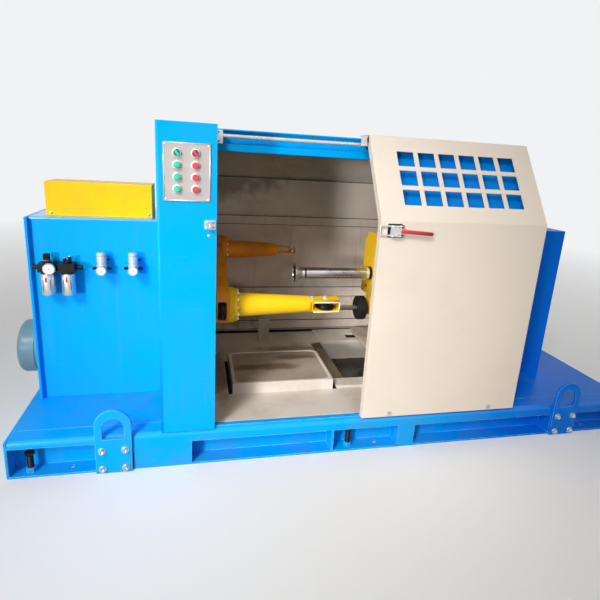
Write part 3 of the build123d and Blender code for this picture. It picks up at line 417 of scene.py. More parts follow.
def makePaint(name, values):
    material, tree, shader = startMaterial(name)
    marks = place(tree, "ShaderNodeGroup", node_tree=grime)
    marks.inputs["Scale"].default_value = values["cloudScale"]
    wear = place(tree, "ShaderNodeGroup", node_tree=edgeWear)
    wear.inputs["Amount"].default_value = values["rubbed"]
    skin = place(tree, "ShaderNodeGroup", node_tree=sprayedSkin)
    tone = mixColour(tree, marks.outputs["Cloud"], values["colour"], values["deep"])
    if "fade" in values:
        # the paint turns deeper along X, as painted shade towards the right end
        where = place(tree, "ShaderNodeTexCoord").outputs["Object"]
        along = place(tree, "ShaderNodeSeparateXYZ", {0: where}).outputs["X"]
        tone = mixColour(tree, span(tree, along, *values["fade"]), tone, values["shadedRightEnd"])
    dusted = mixColour(tree, times(tree, marks.outputs["Cloud"], values["dusty"]), tone, values["dust"])
    streaked = mixColour(tree, times(tree, marks.outputs["Runs"], values["runs"]), dusted, values["dust"])
    # blots darken towards the dust colour: real stains on the floor and platform, painted shade on the liner
    for centre, size in values.get("stainsAndShade", ()):
        stain = place(tree, "ShaderNodeGroup", {"Centre": centre, "Size": size}, node_tree=stainAndShadeBlot)
        streaked = mixColour(tree, times(tree, stain.outputs["Mask"], 0.8), streaked, values["dust"])
    scuffed = mixColour(tree, times(tree, marks.outputs["Scratches"], 0.10), streaked, values["worn"])
    worn = mixColour(tree, wear.outputs["Mask"], scuffed, values["worn"])
    tree.links.new(worn, shader["Base Color"])
    dull = place(tree, "ShaderNodeMath", {0: marks.outputs["Cloud"], 1: 0.22, 2: values["rough"]},
                 operation="MULTIPLY_ADD")
    tree.links.new(dull.outputs[0], shader["Roughness"])
    shader["Specular IOR Level"].default_value = values.get("shine", 0.25)
    shader["Coat Weight"].default_value = values["coat"]
    shader["Coat Roughness"].default_value = 0.12
    shader["Coat IOR"].default_value = values.get("coatIor", 1.5)
    bumpInto(tree, shader, skin.outputs["Height"], 0.25, 0.0016)
    return material


# bare and plated metals
metalValues = {
    "zincSteel": {"colour": (0.70, 0.70, 0.69), "stain": (0.42, 0.40, 0.36), "rough": 0.30,
                  "stretch": (60.0, 60.0, 60.0), "bump": 0.08},
    "brushedPanel": {"colour": (0.46, 0.435, 0.435), "stain": (0.41, 0.39, 0.39), "rough": 0.5,
                     "stretch": (14.0, 40.0, 1400.0), "bump": 0.1, "metallic": 0.12},
    "chromed": {"colour": (0.80, 0.79, 0.81), "stain": (0.62, 0.60, 0.60), "rough": 0.24,
                "stretch": (1200.0, 30.0, 30.0), "bump": 0.05, "metallic": 1.0, "turned": 0.85},
    "paleSteel": {"colour": (0.82, 0.82, 0.81), "stain": (0.62, 0.61, 0.59), "rough": 0.26,
                  "stretch": (60.0, 60.0, 60.0), "bump": 0.05, "metallic": 0.55},
    "darkSteel": {"colour": (0.10, 0.10, 0.11), "stain": (0.05, 0.045, 0.04), "rough": 0.42,
                  "stretch": (80.0, 80.0, 80.0), "bump": 0.1},
    "greyCasting": {"colour": (0.50, 0.60, 0.60), "stain": (0.38, 0.46, 0.46), "rough": 0.34,
                    "stretch": (300.0, 300.0, 300.0), "bump": 0.1, "metallic": 0.25},
    "castAluminium": {"colour": (0.74, 0.74, 0.73), "stain": (0.52, 0.51, 0.49), "rough": 0.36,
                      "stretch": (500.0, 500.0, 500.0), "bump": 0.2},
    "brass": {"colour": (0.86, 0.66, 0.34), "stain": (0.60, 0.42, 0.20), "rough": 0.28,
              "stretch": (300.0, 300.0, 300.0), "bump": 0.05},
}


def makeMetal(name, values):
    material, tree, shader = startMaterial(name)
    lines = place(tree, "ShaderNodeGroup", node_tree=brushedLines)
    lines.inputs["Stretch"].default_value = values["stretch"]
    tone = mixColour(tree, times(tree, lines.outputs["Smudge"], 0.6), values["colour"], values["stain"])
    tree.links.new(tone, shader["Base Color"])
    shader["Metallic"].default_value = values.get("metallic", 1.0)
    if "turned" in values:
        # turned about the X axis: highlights are drawn out along it
        shader["Anisotropic"].default_value = values["turned"]
        along = place(tree, "ShaderNodeCombineXYZ", {"X": 1.0})
        tree.links.new(along.outputs[0], shader["Tangent"])
    drawn = place(tree, "ShaderNodeMath", {0: lines.outputs["Lines"], 1: 0.16, 2: values["rough"] - 0.06},
                  operation="MULTIPLY_ADD")
    smeared = place(tree, "ShaderNodeMath", {0: lines.outputs["Smudge"], 1: 0.12, 2: drawn.outputs[0]},
                    operation="MULTIPLY_ADD")
    tree.links.new(smeared.outputs[0], shader["Roughness"])
    bumpInto(tree, shader, lines.outputs["Lines"], values["bump"], 0.0004)
    return material


# rubbers and plastics
plasticValues = {
    "blackRubber": {"colour": (0.012, 0.010, 0.010), "dust": (0.050, 0.042, 0.036), "rough": 0.62, "grain": 260.0,
                    "bump": 0.5, "dusty": 0.55, "shine": 0.25},
    "blackPlastic": {"colour": (0.006, 0.006, 0.007), "dust": (0.030, 0.028, 0.026), "rough": 0.36,
                     "grain": 900.0, "bump": 0.15, "dusty": 0.35, "shine": 0.25},
    "redPlastic": {"colour": (0.72, 0.03, 0.06), "dust": (0.40, 0.12, 0.11), "rough": 0.32, "grain": 700.0,
                   "bump": 0.12, "dusty": 0.25},
    "redButton": {"colour": (0.80, 0.05, 0.10), "dust": (0.62, 0.16, 0.18), "rough": 0.22, "grain": 900.0,
                  "bump": 0.05, "dusty": 0.3},
    "greenButton": {"colour": (0.03, 0.60, 0.42), "dust": (0.10, 0.44, 0.34), "rough": 0.22, "grain": 900.0,
                    "bump": 0.05, "dusty": 0.3},
    # dark copies of the knob colours for the discs under the bars, as painted shade
    "redKnobShade": {"colour": (0.26, 0.010, 0.035), "dust": (0.30, 0.08, 0.09), "rough": 0.30, "grain": 900.0,
                "bump": 0.05, "dusty": 0.3},
    "greenKnobShade": {"colour": (0.010, 0.17, 0.12), "dust": (0.06, 0.20, 0.16), "rough": 0.30, "grain": 900.0,
                  "bump": 0.05, "dusty": 0.3},
    "dialFace": {"colour": (0.95, 0.95, 0.94), "dust": (0.86, 0.85, 0.83), "rough": 0.30, "grain": 60.0,
                 "bump": 0.02, "dusty": 0.3},
}


def makePlastic(name, values):
    material, tree, shader = startMaterial(name)
    where = place(tree, "ShaderNodeTexCoord").outputs["Object"]
    grain = place(tree, "ShaderNodeTexNoise", {"Vector": where, "Scale": values["grain"], "Detail": 3.0})
    cloud = place(tree, "ShaderNodeTexNoise", {"Vector": where, "Scale": 16.0, "Detail": 6.0})
    dusty = times(tree, span(tree, cloud.outputs["Fac"], 0.45, 0.75), values["dusty"])
    tree.links.new(mixColour(tree, dusty, values["colour"], values["dust"]), shader["Base Color"])
    dull = place(tree, "ShaderNodeMath", {0: dusty, 1: 0.3, 2: values["rough"]}, operation="MULTIPLY_ADD")
    tree.links.new(dull.outputs[0], shader["Roughness"])
    shader["Specular IOR Level"].default_value = values.get("shine", 0.5)
    bumpInto(tree, shader, grain.outputs["Fac"], values["bump"], 0.0005)
    return material


finish = {name: makePaint(name, values) for name, values in paintValues.items()}
finish.update({name: makeMetal(name, values) for name, values in metalValues.items()})
finish.update({name: makePlastic(name, values) for name, values in plasticValues.items()})
print("stage: finishes", sorted(finish))


# mesh helpers: shapes are added to one bmesh, which then becomes a piece
def axes(along):
    # a unit direction with two more across it
    forward = Vector(along).normalized()
    helper = Vector((0, 0, 1)) if abs(forward.z) < 0.9 else Vector((0, 1, 0))
    across = helper.cross(forward).normalized()
    return forward, across, forward.cross(across)


def paintFaces(faces, index):
    for face in faces:
        face.material_index = index


def addLathe(bm, profile, origin, along, index=0, steps=40, ring=False):
    # turns (distance, radius) points about an axis; a ring's profile closes on itself
    forward, across, up = axes(along)
    rings = []
    for distance, radius in profile:
        centre = Vector(origin) + forward * distance
        if radius <= 0:
            rings.append([bm.verts.new(centre)])
            continue
        turn = [math.tau * step / steps for step in range(steps)]
        rings.append([bm.verts.new(centre + (across * math.cos(a) + up * math.sin(a)) * radius) for a in turn])
    pairs = list(zip(rings, rings[1:]))
    if ring:
        pairs.append((rings[-1], rings[0]))
    faces = []
    for first, second in pairs:
        for step in range(steps):
            after = (step + 1) % steps
            if len(first) == 1 and len(second) == 1:
                continue
            if len(first) == 1:
                corners = (first[0], second[after], second[step])
            elif len(second) == 1:
                corners = (first[step], first[after], second[0])
            else:
                corners = (first[step], first[after], second[after], second[step])
            faces.append(bm.faces.new(corners))
    for end, flip in ((rings[0], True), (rings[-1], False)):
        if len(end) > 1 and not ring:
            faces.append(bm.faces.new(end[::-1] if flip else end))
    paintFaces(faces, index)
    bmesh.ops.recalc_face_normals(bm, faces=faces)
    return faces


def roundEdges(bm, faces, width, segments=2):
    # bevels every edge of these faces that turns more than 30 degrees
    edges = {edge for face in faces for edge in face.edges
             if len(edge.link_faces) == 2 and edge.calc_face_angle() > math.radians(30)}
    if edges and width > 0:
        bmesh.ops.bevel(bm, geom=list(edges), offset=width, segments=segments, profile=0.5, affect="EDGES",
                        clamp_overlap=True)


def addOutline(bm, outline, origin, across, up, depth, index=0, width=0.0):
    # pushes a flat outline, given in two directions, through a depth across them
    across, up = Vector(across), Vector(up)
    out = across.cross(up)
    near = [bm.verts.new(Vector(origin) + across * a + up * b) for a, b in outline]
    far = [bm.verts.new(vert.co + out * depth) for vert in near]
    faces = [bm.faces.new(near[::-1]), bm.faces.new(far)]
    count = len(near)
    for step in range(count):
        after = (step + 1) % count
        faces.append(bm.faces.new((near[step], near[after], far[after], far[step])))
    paintFaces(faces, index)
    if depth < 0:
        bmesh.ops.reverse_faces(bm, faces=faces)
    roundEdges(bm, faces, width)
    return faces


def roundedBox(width, height, radius, steps=5):
    # a rounded rectangle about its middle
    points = []
    for corner, (sideA, sideB) in enumerate(((1, 1), (-1, 1), (-1, -1), (1, -1))):
        for step in range(steps + 1):
            angle = math.pi / 2 * (corner + step / steps)
            points.append((sideA * (width / 2 - radius) + radius * math.cos(angle),
                           sideB * (height / 2 - radius) + radius * math.sin(angle)))
    return points


def addBox(bm, low, high, index=0, width=0.0):
    (x0, y0, z0), (x1, y1, z1) = low, high
    outline = [(x0, y0), (x1, y0), (x1, y1), (x0, y1)]
    return addOutline(bm, outline, (0, 0, z0), (1, 0, 0), (0, 1, 0), z1 - z0, index, width)


def shadeByAngle(bm, limit=32):
    # rounds and turned faces are shaded smooth, broad flat faces stay flat
    for face in bm.faces:
        face.smooth = face.calc_area() < 0.006
    for edge in bm.edges:
        if len(edge.link_faces) != 2 or edge.calc_face_angle() > math.radians(limit):
            edge.smooth = False


def makePiece(bm, name, body, materials, stoodFor=()):
    mesh = bpy.data.meshes.new(name)
    bm.to_mesh(mesh)
    bm.free()
    for material in materials:
        mesh.materials.append(finish[material])
    piece = bpy.data.objects.new(name, mesh)
    scene.collection.objects.link(piece)
    return settle(piece, body, stoodFor)


def settle(piece, body, stoodFor=()):
    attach(piece, body)
    if stoodFor:
        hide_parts(*stoodFor)
    return piece


def mergedCopy(node):
    # a CAD node's mesh, joined up and with its flat faces whole
    bm = bmesh.new()
    bm.from_mesh(nodes[node].data)
    bmesh.ops.remove_doubles(bm, verts=bm.verts, dist=1e-5)
    bmesh.ops.dissolve_limit(bm, angle_limit=math.radians(0.5), verts=bm.verts, edges=bm.edges)
    return bm


def cutOut(bm, cutter):
    # takes one bmesh out of another and frees both
    pair = []
    for part in (bm, cutter):
        mesh = bpy.data.meshes.new("cutting")
        part.to_mesh(mesh)
        part.free()
        pair.append(bpy.data.objects.new("cutting", mesh))
        scene.collection.objects.link(pair[-1])
    cut = pair[0].modifiers.new("cut", "BOOLEAN")
    cut.operation = "DIFFERENCE"
    cut.solver = "EXACT"
    cut.object = pair[1]
    made = bpy.data.meshes.new_from_object(pair[0].evaluated_get(bpy.context.evaluated_depsgraph_get()))
    left = bmesh.new()
    left.from_mesh(made)
    bpy.data.meshes.remove(made)
    for helper in pair:
        mesh = helper.data
        bpy.data.objects.remove(helper)
        bpy.data.meshes.remove(mesh)
    bmesh.ops.dissolve_limit(left, angle_limit=math.radians(0.5), verts=left.verts, edges=left.edges)
    return left


def dressNode(node, name, material, width, segments=2, inside=None, cutter=None):
    # the CAD shape again with soft edges; inside = (test, material) gives some faces another finish
    bm = mergedCopy(node)
    if cutter:
        bm = cutOut(bm, cutter)
    hard = [edge for edge in bm.edges if len(edge.link_faces) == 2 and edge.calc_face_angle() > math.radians(30)]
    for edge in bm.edges:
        edge.smooth = edge not in hard
    for face in bm.faces:
        face.smooth = True
        if inside and inside[0](face):
            face.material_index = 1
    made = bmesh.ops.bevel(bm, geom=hard, offset=width, segments=segments, profile=0.5, affect="EDGES",
                           clamp_overlap=True)
    for face in made["faces"]:
        face.smooth = False
    materials = [material, inside[1]] if inside else [material]
    body = nodes[node]["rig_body"]
    return makePiece(bm, name, body, materials, (node,))


# plain housings and plates: soft edges in proportion to their sheet, and their paints
dressings = (
    ("left_end_plate", "leftEndPlate", "blue_paint", "baseBlue", 2.0),
    ("right_end_plate", "rightEndPlate", "blue_paint", "baseBlue", 2.0),
    ("cross_members", "crossMembers", "blue_paint", "baseBlue", 2.0),
    ("deck", "deckPlates", "blue_paint", "baseBlue", 1.5),
    ("lifting_lug_front_left", "lugFrontLeft", "blue_paint", "baseBlue", 1.8),
    ("lifting_lug_front_right", "lugFrontRight", "blue_paint", "baseBlue", 1.8),
    ("lifting_lug_rear_left", "lugRearLeft", "blue_paint", "baseBlue", 1.8),
    ("lifting_lug_rear_right", "lugRearRight", "blue_paint", "baseBlue", 1.8),
    ("cabinet_end_plate", "cabinetEndPlate", "blue_paint", "bluePaint", 1.5),
    ("belt_guard", "beltGuard", "yellow_paint", "yellowPaint", 1.0),
    ("rotor_housing", "rotorHousing", "blue_paint", "bluePaint", 2.0),
    ("bay_floor", "bayFloor", "beige_paint", "floorBeige", 0.9),
    ("carriage_guides", "carriageGuides", "beige_paint", "floorBeige", 1.5),
    ("sensor_post", "sensorPost", "beige_paint", "beigePaint", 1.5),
    ("door_track", "doorTrack", "blue_paint", "baseBlue", 1.5),
    # the back liner takes the paler beige with painted light and painted shade
    ("back_liner", "backLiner", "beige_paint", "linerLitAndShadedBeige", 1.2),
    ("front_top_beam", "frontTopBeam", "blue_paint", "bluePaint", 1.6),
    ("rear_top_beam", "rearTopBeam", "blue_paint", "bluePaint", 1.6),
    # the tail cabinet takes the deeper shaded copy of the blue, as painted shade
    ("tail_cabinet", "tailCabinet", "blue_paint", "endShadedBlue", 1.0),
    ("sliding_door", "slidingDoor", "cream_paint", "creamPaint", 0.9),
    ("takeup_carriage", "takeupCarriage", "beige_paint", "beigePaint", 2.0),
    ("driver_plate", "driverPlate", "yellow_paint", "yellowPaint", 2.0),
)
for node, name, slotName, material, width in dressings:
    dressNode(node, name, material, width * mm)
print("stage: housings dressed")

# the beams' lips end higher over the open stretches, each (left, right, top)
lipValues = {"openings": ((-1.352, -1.054, 0.120), (-0.705, -0.138, 0.103), (-0.128, 0.160, 0.103),
                          (0.236, 0.923, 0.100), (1.053, 1.352, 0.100)), "thick": 0.009}
for side, beam, name in ((-1, "front_beam", "frontBeam"), (1, "rear_beam", "rearBeam")):
    beamLow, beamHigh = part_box(beam)
    face = beamLow.y if side < 0 else beamHigh.y
    lips = bmesh.new()
    for left, right, top in lipValues["openings"]:
        across = sorted((face + side * 0.002, face - side * lipValues["thick"]))
        addBox(lips, (left, across[0], 0.060), (right, across[1], top))
    dressNode(beam, name, "baseBlue", 0.0016, cutter=lips,
              inside=(lambda face: 0.2 < face.normal.z < 0.97, "glossBase"))

# the cabinet's bend and top shine
dressNode("cabinet_cover", "cabinetCover", "bluePaint", 0.0009,
          inside=(lambda face: face.normal.z > 0.3, "glossBlue"))

# the lift platform's top lies a little below its rim
platformValues = {"rim": 0.013, "sink": 0.003, "corner": 0.030}
platformLow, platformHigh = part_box("lift_platform")
dish = bmesh.new()
addOutline(dish, roundedBox(platformHigh.x - platformLow.x - 2 * platformValues["rim"],
                            platformHigh.y - platformLow.y - 2 * platformValues["rim"], platformValues["corner"]),
           ((platformLow.x + platformHigh.x) / 2, (platformLow.y + platformHigh.y) / 2,
            platformHigh.z - platformValues["sink"]), (1, 0, 0), (0, 1, 0), 0.02)
# the sunk top and the left side take the darker beige: oil stains and painted shade
dressNode("lift_platform", "liftPlatform", "floorBeige", 0.0012, cutter=dish,
          inside=(lambda face: (face.normal.z > 0.9 and face.calc_center_median().z < platformHigh.z - 0.001)
                  or face.normal.x < -0.9, "oiledAndShadedBeige"))

# dark strips along the back liner's folds, as painted shade where the sheets are folded over each other
seamHeights = (0.165, 0.218, 0.370, 0.429, 0.807, 0.855, 1.067)
linerLow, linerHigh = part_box("back_liner")
bm = bmesh.new()
for height in seamHeights:
    addBox(bm, (linerLow.x + 0.002, linerLow.y - 0.0006, height - 0.0016),
           (linerHigh.x - 0.002, linerLow.y + 0.0060, height + 0.0012))
makePiece(bm, "linerFoldShade", "frame", ["blackPlastic"])

# a pale line runs along each fold, as a painted highlight
bm = bmesh.new()
for height in seamHeights:
    addBox(bm, (linerLow.x + 0.002, linerLow.y - 0.0004, height - 0.0042),
           (linerHigh.x - 0.002, linerLow.y + 0.0060, height - 0.0020))
makePiece(bm, "linerFoldHighlights", "frame", ["creamPaint"])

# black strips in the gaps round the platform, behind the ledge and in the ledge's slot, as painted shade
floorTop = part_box("bobbin_flap")[0].z
gaps = ((-0.546, -0.530, -0.292, 0.051), (-0.063, -0.044, -0.292, 0.051), (-0.590, 0.700, 0.447, 0.485),
        (0.197, 0.297, 0.299, 0.365))
bm = bmesh.new()
for left, right, near, far in gaps:
    addBox(bm, (left, near, floorTop + 0.0002), (right, far, floorTop + 0.0010))
makePiece(bm, "gapShadeStrips", "frame", ["blackRubber"])

# the flap's top is dark brown
dressNode("bobbin_flap", "bobbinFlap", "floorBeige", 0.001,
          inside=(lambda face: face.normal.z > 0.9, "flapBrown"))

# the loading pit's inside is painted nearly black, as painted shade; its far wall stays pale
pitLow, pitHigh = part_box("loading_pit")
dressNode("loading_pit", "loadingPit", "floorBeige", 0.001,
          inside=(lambda face: face.calc_center_median().z < pitHigh.z - 0.004 and face.normal.y > -0.5,
                  "pitShadeBeige"))

# the bay side of the rear cover, the roof and the end wall is beige
dressNode("rear_cover", "rearCover", "bluePaint", 0.9 * mm,
          inside=(lambda face: face.normal.y < -0.5 or (face.normal.z < -0.5 and face.normal.y < 0.1),
                  "beigePaint"))
# the fixed panel and the right end wall take shaded copies of the blue, as painted shade
dressNode("fixed_front_panel", "fixedFrontPanel", "shadedBlue", 0.9 * mm,
          inside=(lambda face: face.normal.y > 0.5, "beigePaint"))
dressNode("headstock_wall", "headstockWall", "bluePaint", 1.2 * mm,
          inside=(lambda face: face.normal.x > 0.5, "beigePaint"))
dressNode("roof_panel", "roofPanel", "bluePaint", 1.2 * mm,
          inside=(lambda face: face.normal.z < -0.9, "beigePaint"))
dressNode("right_end_wall", "rightEndWall", "endShadedBlue", 1.5 * mm,
          inside=(lambda face: face.normal.x < -0.9, "beigePaint"))

# the control column: one folded housing with a rounded left edge
columnValues = {"cornerRadius": 0.009, "sheet": 0.003, "edge": 0.0014}


def makeColumn(values):
    frontLow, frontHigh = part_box("column_front")
    shellLow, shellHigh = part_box("column_shell")
    left, right, shellRight = shellLow.x, frontHigh.x, shellHigh.x
    near, far, radius, sheet = frontLow.y, shellHigh.y, values["cornerRadius"], values["sheet"]
    steps = 7
    bend = [math.pi * (1 + step / steps / 2) for step in range(steps + 1)]
    outer = [(left + radius + radius * math.cos(a), near + radius + radius * math.sin(a)) for a in bend]
    inner = [(left + radius + (radius - sheet) * math.cos(a), near + radius + (radius - sheet) * math.sin(a))
             for a in reversed(bend)]
    outline = ([(shellRight, far), (left, far)] + outer + [(right, near), (right, frontHigh.y)] + inner
               + [(left + sheet, far - sheet), (shellRight, far - sheet)])
    bm = bmesh.new()
    addOutline(bm, outline, (0, 0, shellLow.z), (1, 0, 0), (0, 1, 0), shellHigh.z - shellLow.z, 0, values["edge"])
    addBox(bm, (left + radius, near + sheet, shellHigh.z - sheet), (shellRight, far - sheet, shellHigh.z))
    shadeByAngle(bm, 28)
    makePiece(bm, "columnHousing", "frame", ["bluePaint"], ("column_front", "column_shell"))


makeColumn(columnValues)


# fasteners: one Geometry Nodes group sets heads and washers on points, each turned by a seeded amount
def makeFastenerGroup():
    group = bpy.data.node_groups.new("fastenerField", "GeometryNodeTree")
    labels = (("Places", "NodeSocketGeometry", None), ("Head Radius", "NodeSocketFloat", 0.011),
              ("Head Height", "NodeSocketFloat", 0.012), ("Sides", "NodeSocketInt", 24),
              ("Chamfer", "NodeSocketFloat", 0.86), ("Socket Share", "NodeSocketFloat", 0.55),
              ("Socket Depth", "NodeSocketFloat", 0.005), ("Washer Radius", "NodeSocketFloat", 0.015),
              ("Washer Height", "NodeSocketFloat", 0.002), ("Seed", "NodeSocketInt", 3),
              ("Finish", "NodeSocketMaterial", None))
    for label, kind, value in labels:
        socket = group.interface.new_socket(label, in_out="INPUT", socket_type=kind)
        if value is not None:
            socket.default_value = value
    group.interface.new_socket("Mesh", in_out="OUTPUT", socket_type="NodeSocketGeometry")
    given = group.nodes.new("NodeGroupInput").outputs
    out = group.nodes.new("NodeGroupOutput").inputs

    def sum2(first, second, operation="ADD"):
        return place(group, "ShaderNodeMath", {0: first, 1: second}, operation=operation).outputs[0]

    def lifted(height):
        return place(group, "ShaderNodeCombineXYZ", {"Z": height}).outputs[0]

    straight = sum2(given["Head Height"], 0.78, "MULTIPLY")
    head = place(group, "GeometryNodeMeshCylinder", {"Vertices": given["Sides"], "Radius": given["Head Radius"],
                                                     "Depth": straight})
    slope = place(group, "GeometryNodeExtrudeMesh",
                  {"Mesh": head.outputs["Mesh"], "Selection": head.outputs["Top"],
                   "Offset Scale": sum2(given["Head Height"], 0.22, "MULTIPLY"), "Individual": False})
    narrowed = place(group, "GeometryNodeScaleElements",
                     {"Geometry": slope.outputs["Mesh"], "Selection": slope.outputs["Top"],
                      "Scale": given["Chamfer"]})
    inset = place(group, "GeometryNodeExtrudeMesh", {"Mesh": narrowed.outputs[0], "Selection": slope.outputs["Top"],
                                                     "Offset Scale": 0.0, "Individual": False})
    hole = place(group, "GeometryNodeScaleElements", {"Geometry": inset.outputs["Mesh"],
                                                      "Selection": inset.outputs["Top"],
                                                      "Scale": given["Socket Share"]})
    sunk = place(group, "GeometryNodeExtrudeMesh",
                 {"Mesh": hole.outputs[0], "Selection": inset.outputs["Top"],
                  "Offset Scale": sum2(given["Socket Depth"], -1.0, "MULTIPLY"), "Individual": False})
    headUp = sum2(given["Washer Height"], sum2(straight, 0.5, "MULTIPLY"))
    raised = place(group, "GeometryNodeTransform", {"Geometry": sunk.outputs["Mesh"],
                                                    "Translation": lifted(headUp)})
    washer = place(group, "GeometryNodeMeshCylinder", {"Vertices": 28, "Radius": given["Washer Radius"],
                                                       "Depth": given["Washer Height"]})
    low = place(group, "GeometryNodeTransform", {"Geometry": washer.outputs["Mesh"],
                                                 "Translation": lifted(sum2(given["Washer Height"], 0.5,
                                                                            "MULTIPLY"))})
    both = place(group, "GeometryNodeJoinGeometry")
    group.links.new(raised.outputs[0], both.inputs[0])
    group.links.new(low.outputs[0], both.inputs[0])
    aim = place(group, "GeometryNodeInputNamedAttribute", {"Name": "aim"}, data_type="FLOAT_VECTOR")
    upright = place(group, "FunctionNodeAlignRotationToVector", {"Vector": aim.outputs["Attribute"]}, axis="Z")
    angle = place(group, "FunctionNodeRandomValue", {"Seed": given["Seed"]}, data_type="FLOAT")
    angle.inputs[3].default_value = math.tau
    spin = place(group, "FunctionNodeAxisAngleToRotation", {"Angle": angle.outputs[1]})
    turned = place(group, "FunctionNodeRotateRotation", {0: upright.outputs[0], 1: spin.outputs[0]},
                   rotation_space="LOCAL")
    spread = place(group, "GeometryNodeInstanceOnPoints", {"Points": given["Places"], "Instance": both.outputs[0],
                                                           "Rotation": turned.outputs[0]})
    real = place(group, "GeometryNodeRealizeInstances", {0: spread.outputs[0]})
    done = place(group, "GeometryNodeSetMaterial", {"Geometry": real.outputs[0], "Material": given["Finish"]})
    group.links.new(done.outputs[0], out["Mesh"])
    return group


fastenerField = makeFastenerGroup()


def setFasteners(name, body, material, spots, values, stoodFor=()):
    # spots are (place, direction the head looks in)
    mesh = bpy.data.meshes.new(name + "Places")
    mesh.from_pydata([spot for spot, aim in spots], [], [])
    aims = mesh.attributes.new("aim", "FLOAT_VECTOR", "POINT")
    for number, (spot, aim) in enumerate(spots):
        aims.data[number].vector = Vector(aim)
    pieceMaker = bpy.data.objects.new(name, mesh)
    scene.collection.objects.link(pieceMaker)
    field = pieceMaker.modifiers.new("fasteners", "NODES")
    field.node_group = fastenerField
    sockets = {item.name: item.identifier for item in fastenerField.interface.items_tree
               if item.item_type == "SOCKET" and item.in_out == "INPUT"}
    for label, value in values.items():
        field[sockets[label]] = value
    field[sockets["Finish"]] = finish[material]
    made = bpy.data.meshes.new_from_object(pieceMaker.evaluated_get(bpy.context.evaluated_depsgraph_get()))
    pieceMaker.modifiers.clear()
    pieceMaker.data = made
    made.name = name
    bm = bmesh.new()
    bm.from_mesh(made)
    bmesh.ops.remove_doubles(bm, verts=bm.verts, dist=1e-7)
    shadeByAngle(bm)
    bm.to_mesh(made)
    bm.free()
    return settle(pieceMaker, body, stoodFor)


socketHead = {"Head Radius": 0.010, "Head Height": 0.0105, "Washer Radius": 0.0135, "Washer Height": 0.0025,
              "Socket Share": 0.55, "Socket Depth": 0.005, "Seed": 5}
hexHead = {"Head Radius": 0.0062, "Head Height": 0.0048, "Sides": 6, "Chamfer": 0.9, "Socket Share": 0.5,
           "Socket Depth": 0.0004, "Washer Radius": 0.0074, "Washer Height": 0.0010, "Seed": 8}
panHead = {"Head Radius": 0.0045, "Head Height": 0.0026, "Chamfer": 0.7, "Socket Share": 0.45,
           "Socket Depth": 0.0012, "Washer Radius": 0.0054, "Washer Height": 0.0006, "Seed": 11}
tinyHead = {**panHead, "Head Radius": 0.0030, "Head Height": 0.0018, "Socket Depth": 0.0008,
            "Washer Radius": 0.0034}

# lifting lugs: four socket screws each, front and rear
lugBoltValues = {"apartX": 0.082, "apartZ": 0.076, "low": 0.021}
lugSpots = []
for lug in ("lifting_lug_front_left", "lifting_lug_front_right", "lifting_lug_rear_left", "lifting_lug_rear_right"):
    low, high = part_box(lug)
    outward = -1 if low.y < 0 else 1
    face = low.y if outward < 0 else high.y
    middle = (low.x + high.x) / 2
    for stepX in (-0.5, 0.5):
        for stepZ in (0, 1):
            lugSpots.append(((middle + stepX * lugBoltValues["apartX"], face,
                              lugBoltValues["low"] + stepZ * lugBoltValues["apartZ"]), (0, outward, 0)))
setFasteners("lugBolts", "frame", "zincSteel", lugSpots, socketHead, ("lug_bolts",))

# levelling screws: hexagon bolts, head up, in nuts that are welded on and painted
levellingValues = {"inset": 0.074, "middle": -0.057, "setback": 0.030, "pitch": 0.003, "radius": 0.0110,
                   "top": 0.092, "headRadius": 0.0175, "headHeight": 0.012, "nutRadius": 0.0165,
                   "nutHeight": 0.018, "flange": 0.008}
baseLow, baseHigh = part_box("left_end_plate")[0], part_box("right_end_plate")[1]


def makeLevellingScrews(values):
    bm = bmesh.new()
    radius, pitch = values["radius"], values["pitch"]
    profile = [(0.0, radius * 0.9)]
    level = 0.006
    headBottom = values["top"] - values["headHeight"]
    while level < headBottom - pitch:
        profile += [(level, radius), (level + pitch / 2, radius * 0.9)]
        level += pitch
    profile.append((headBottom + 0.001, radius * 0.9))
    hexagons = ((values["flange"], values["nutHeight"], values["nutRadius"], 1),
                (headBottom, values["headHeight"], values["headRadius"], 0))
    for x in (baseLow.x + values["inset"], values["middle"], baseHigh.x - values["inset"]):
        for y in (baseLow.y + values["setback"], baseHigh.y - values["setback"]):
            addLathe(bm, profile, (x, y, 0), (0, 0, 1), 0, 20)
            for bottom, height, size, index in hexagons:
                corners = [math.tau * (k + 0.25) / 6 for k in range(6)]
                six = [(size * math.cos(corner), size * math.sin(corner)) for corner in corners]
                faces = addOutline(bm, six, (x, y, bottom), (1, 0, 0), (0, 1, 0), height)
                paintFaces(faces, index)
                roundEdges(bm, faces, 0.0012)
    shadeByAngle(bm)
    makePiece(bm, "levellingScrews", "frame", ["blackPlastic", "baseBlue"], ("levelling_screws",))


makeLevellingScrews(levellingValues)
print("stage: column, lug bolts and levelling screws")

# drive end: the motor's fan cowl with its grille and the wire inlet
cowlValues = {"round": 0.022, "recess": 0.012, "grilleRadius": 0.098, "wire": 0.0018, "rings": 7, "spokes": 10}


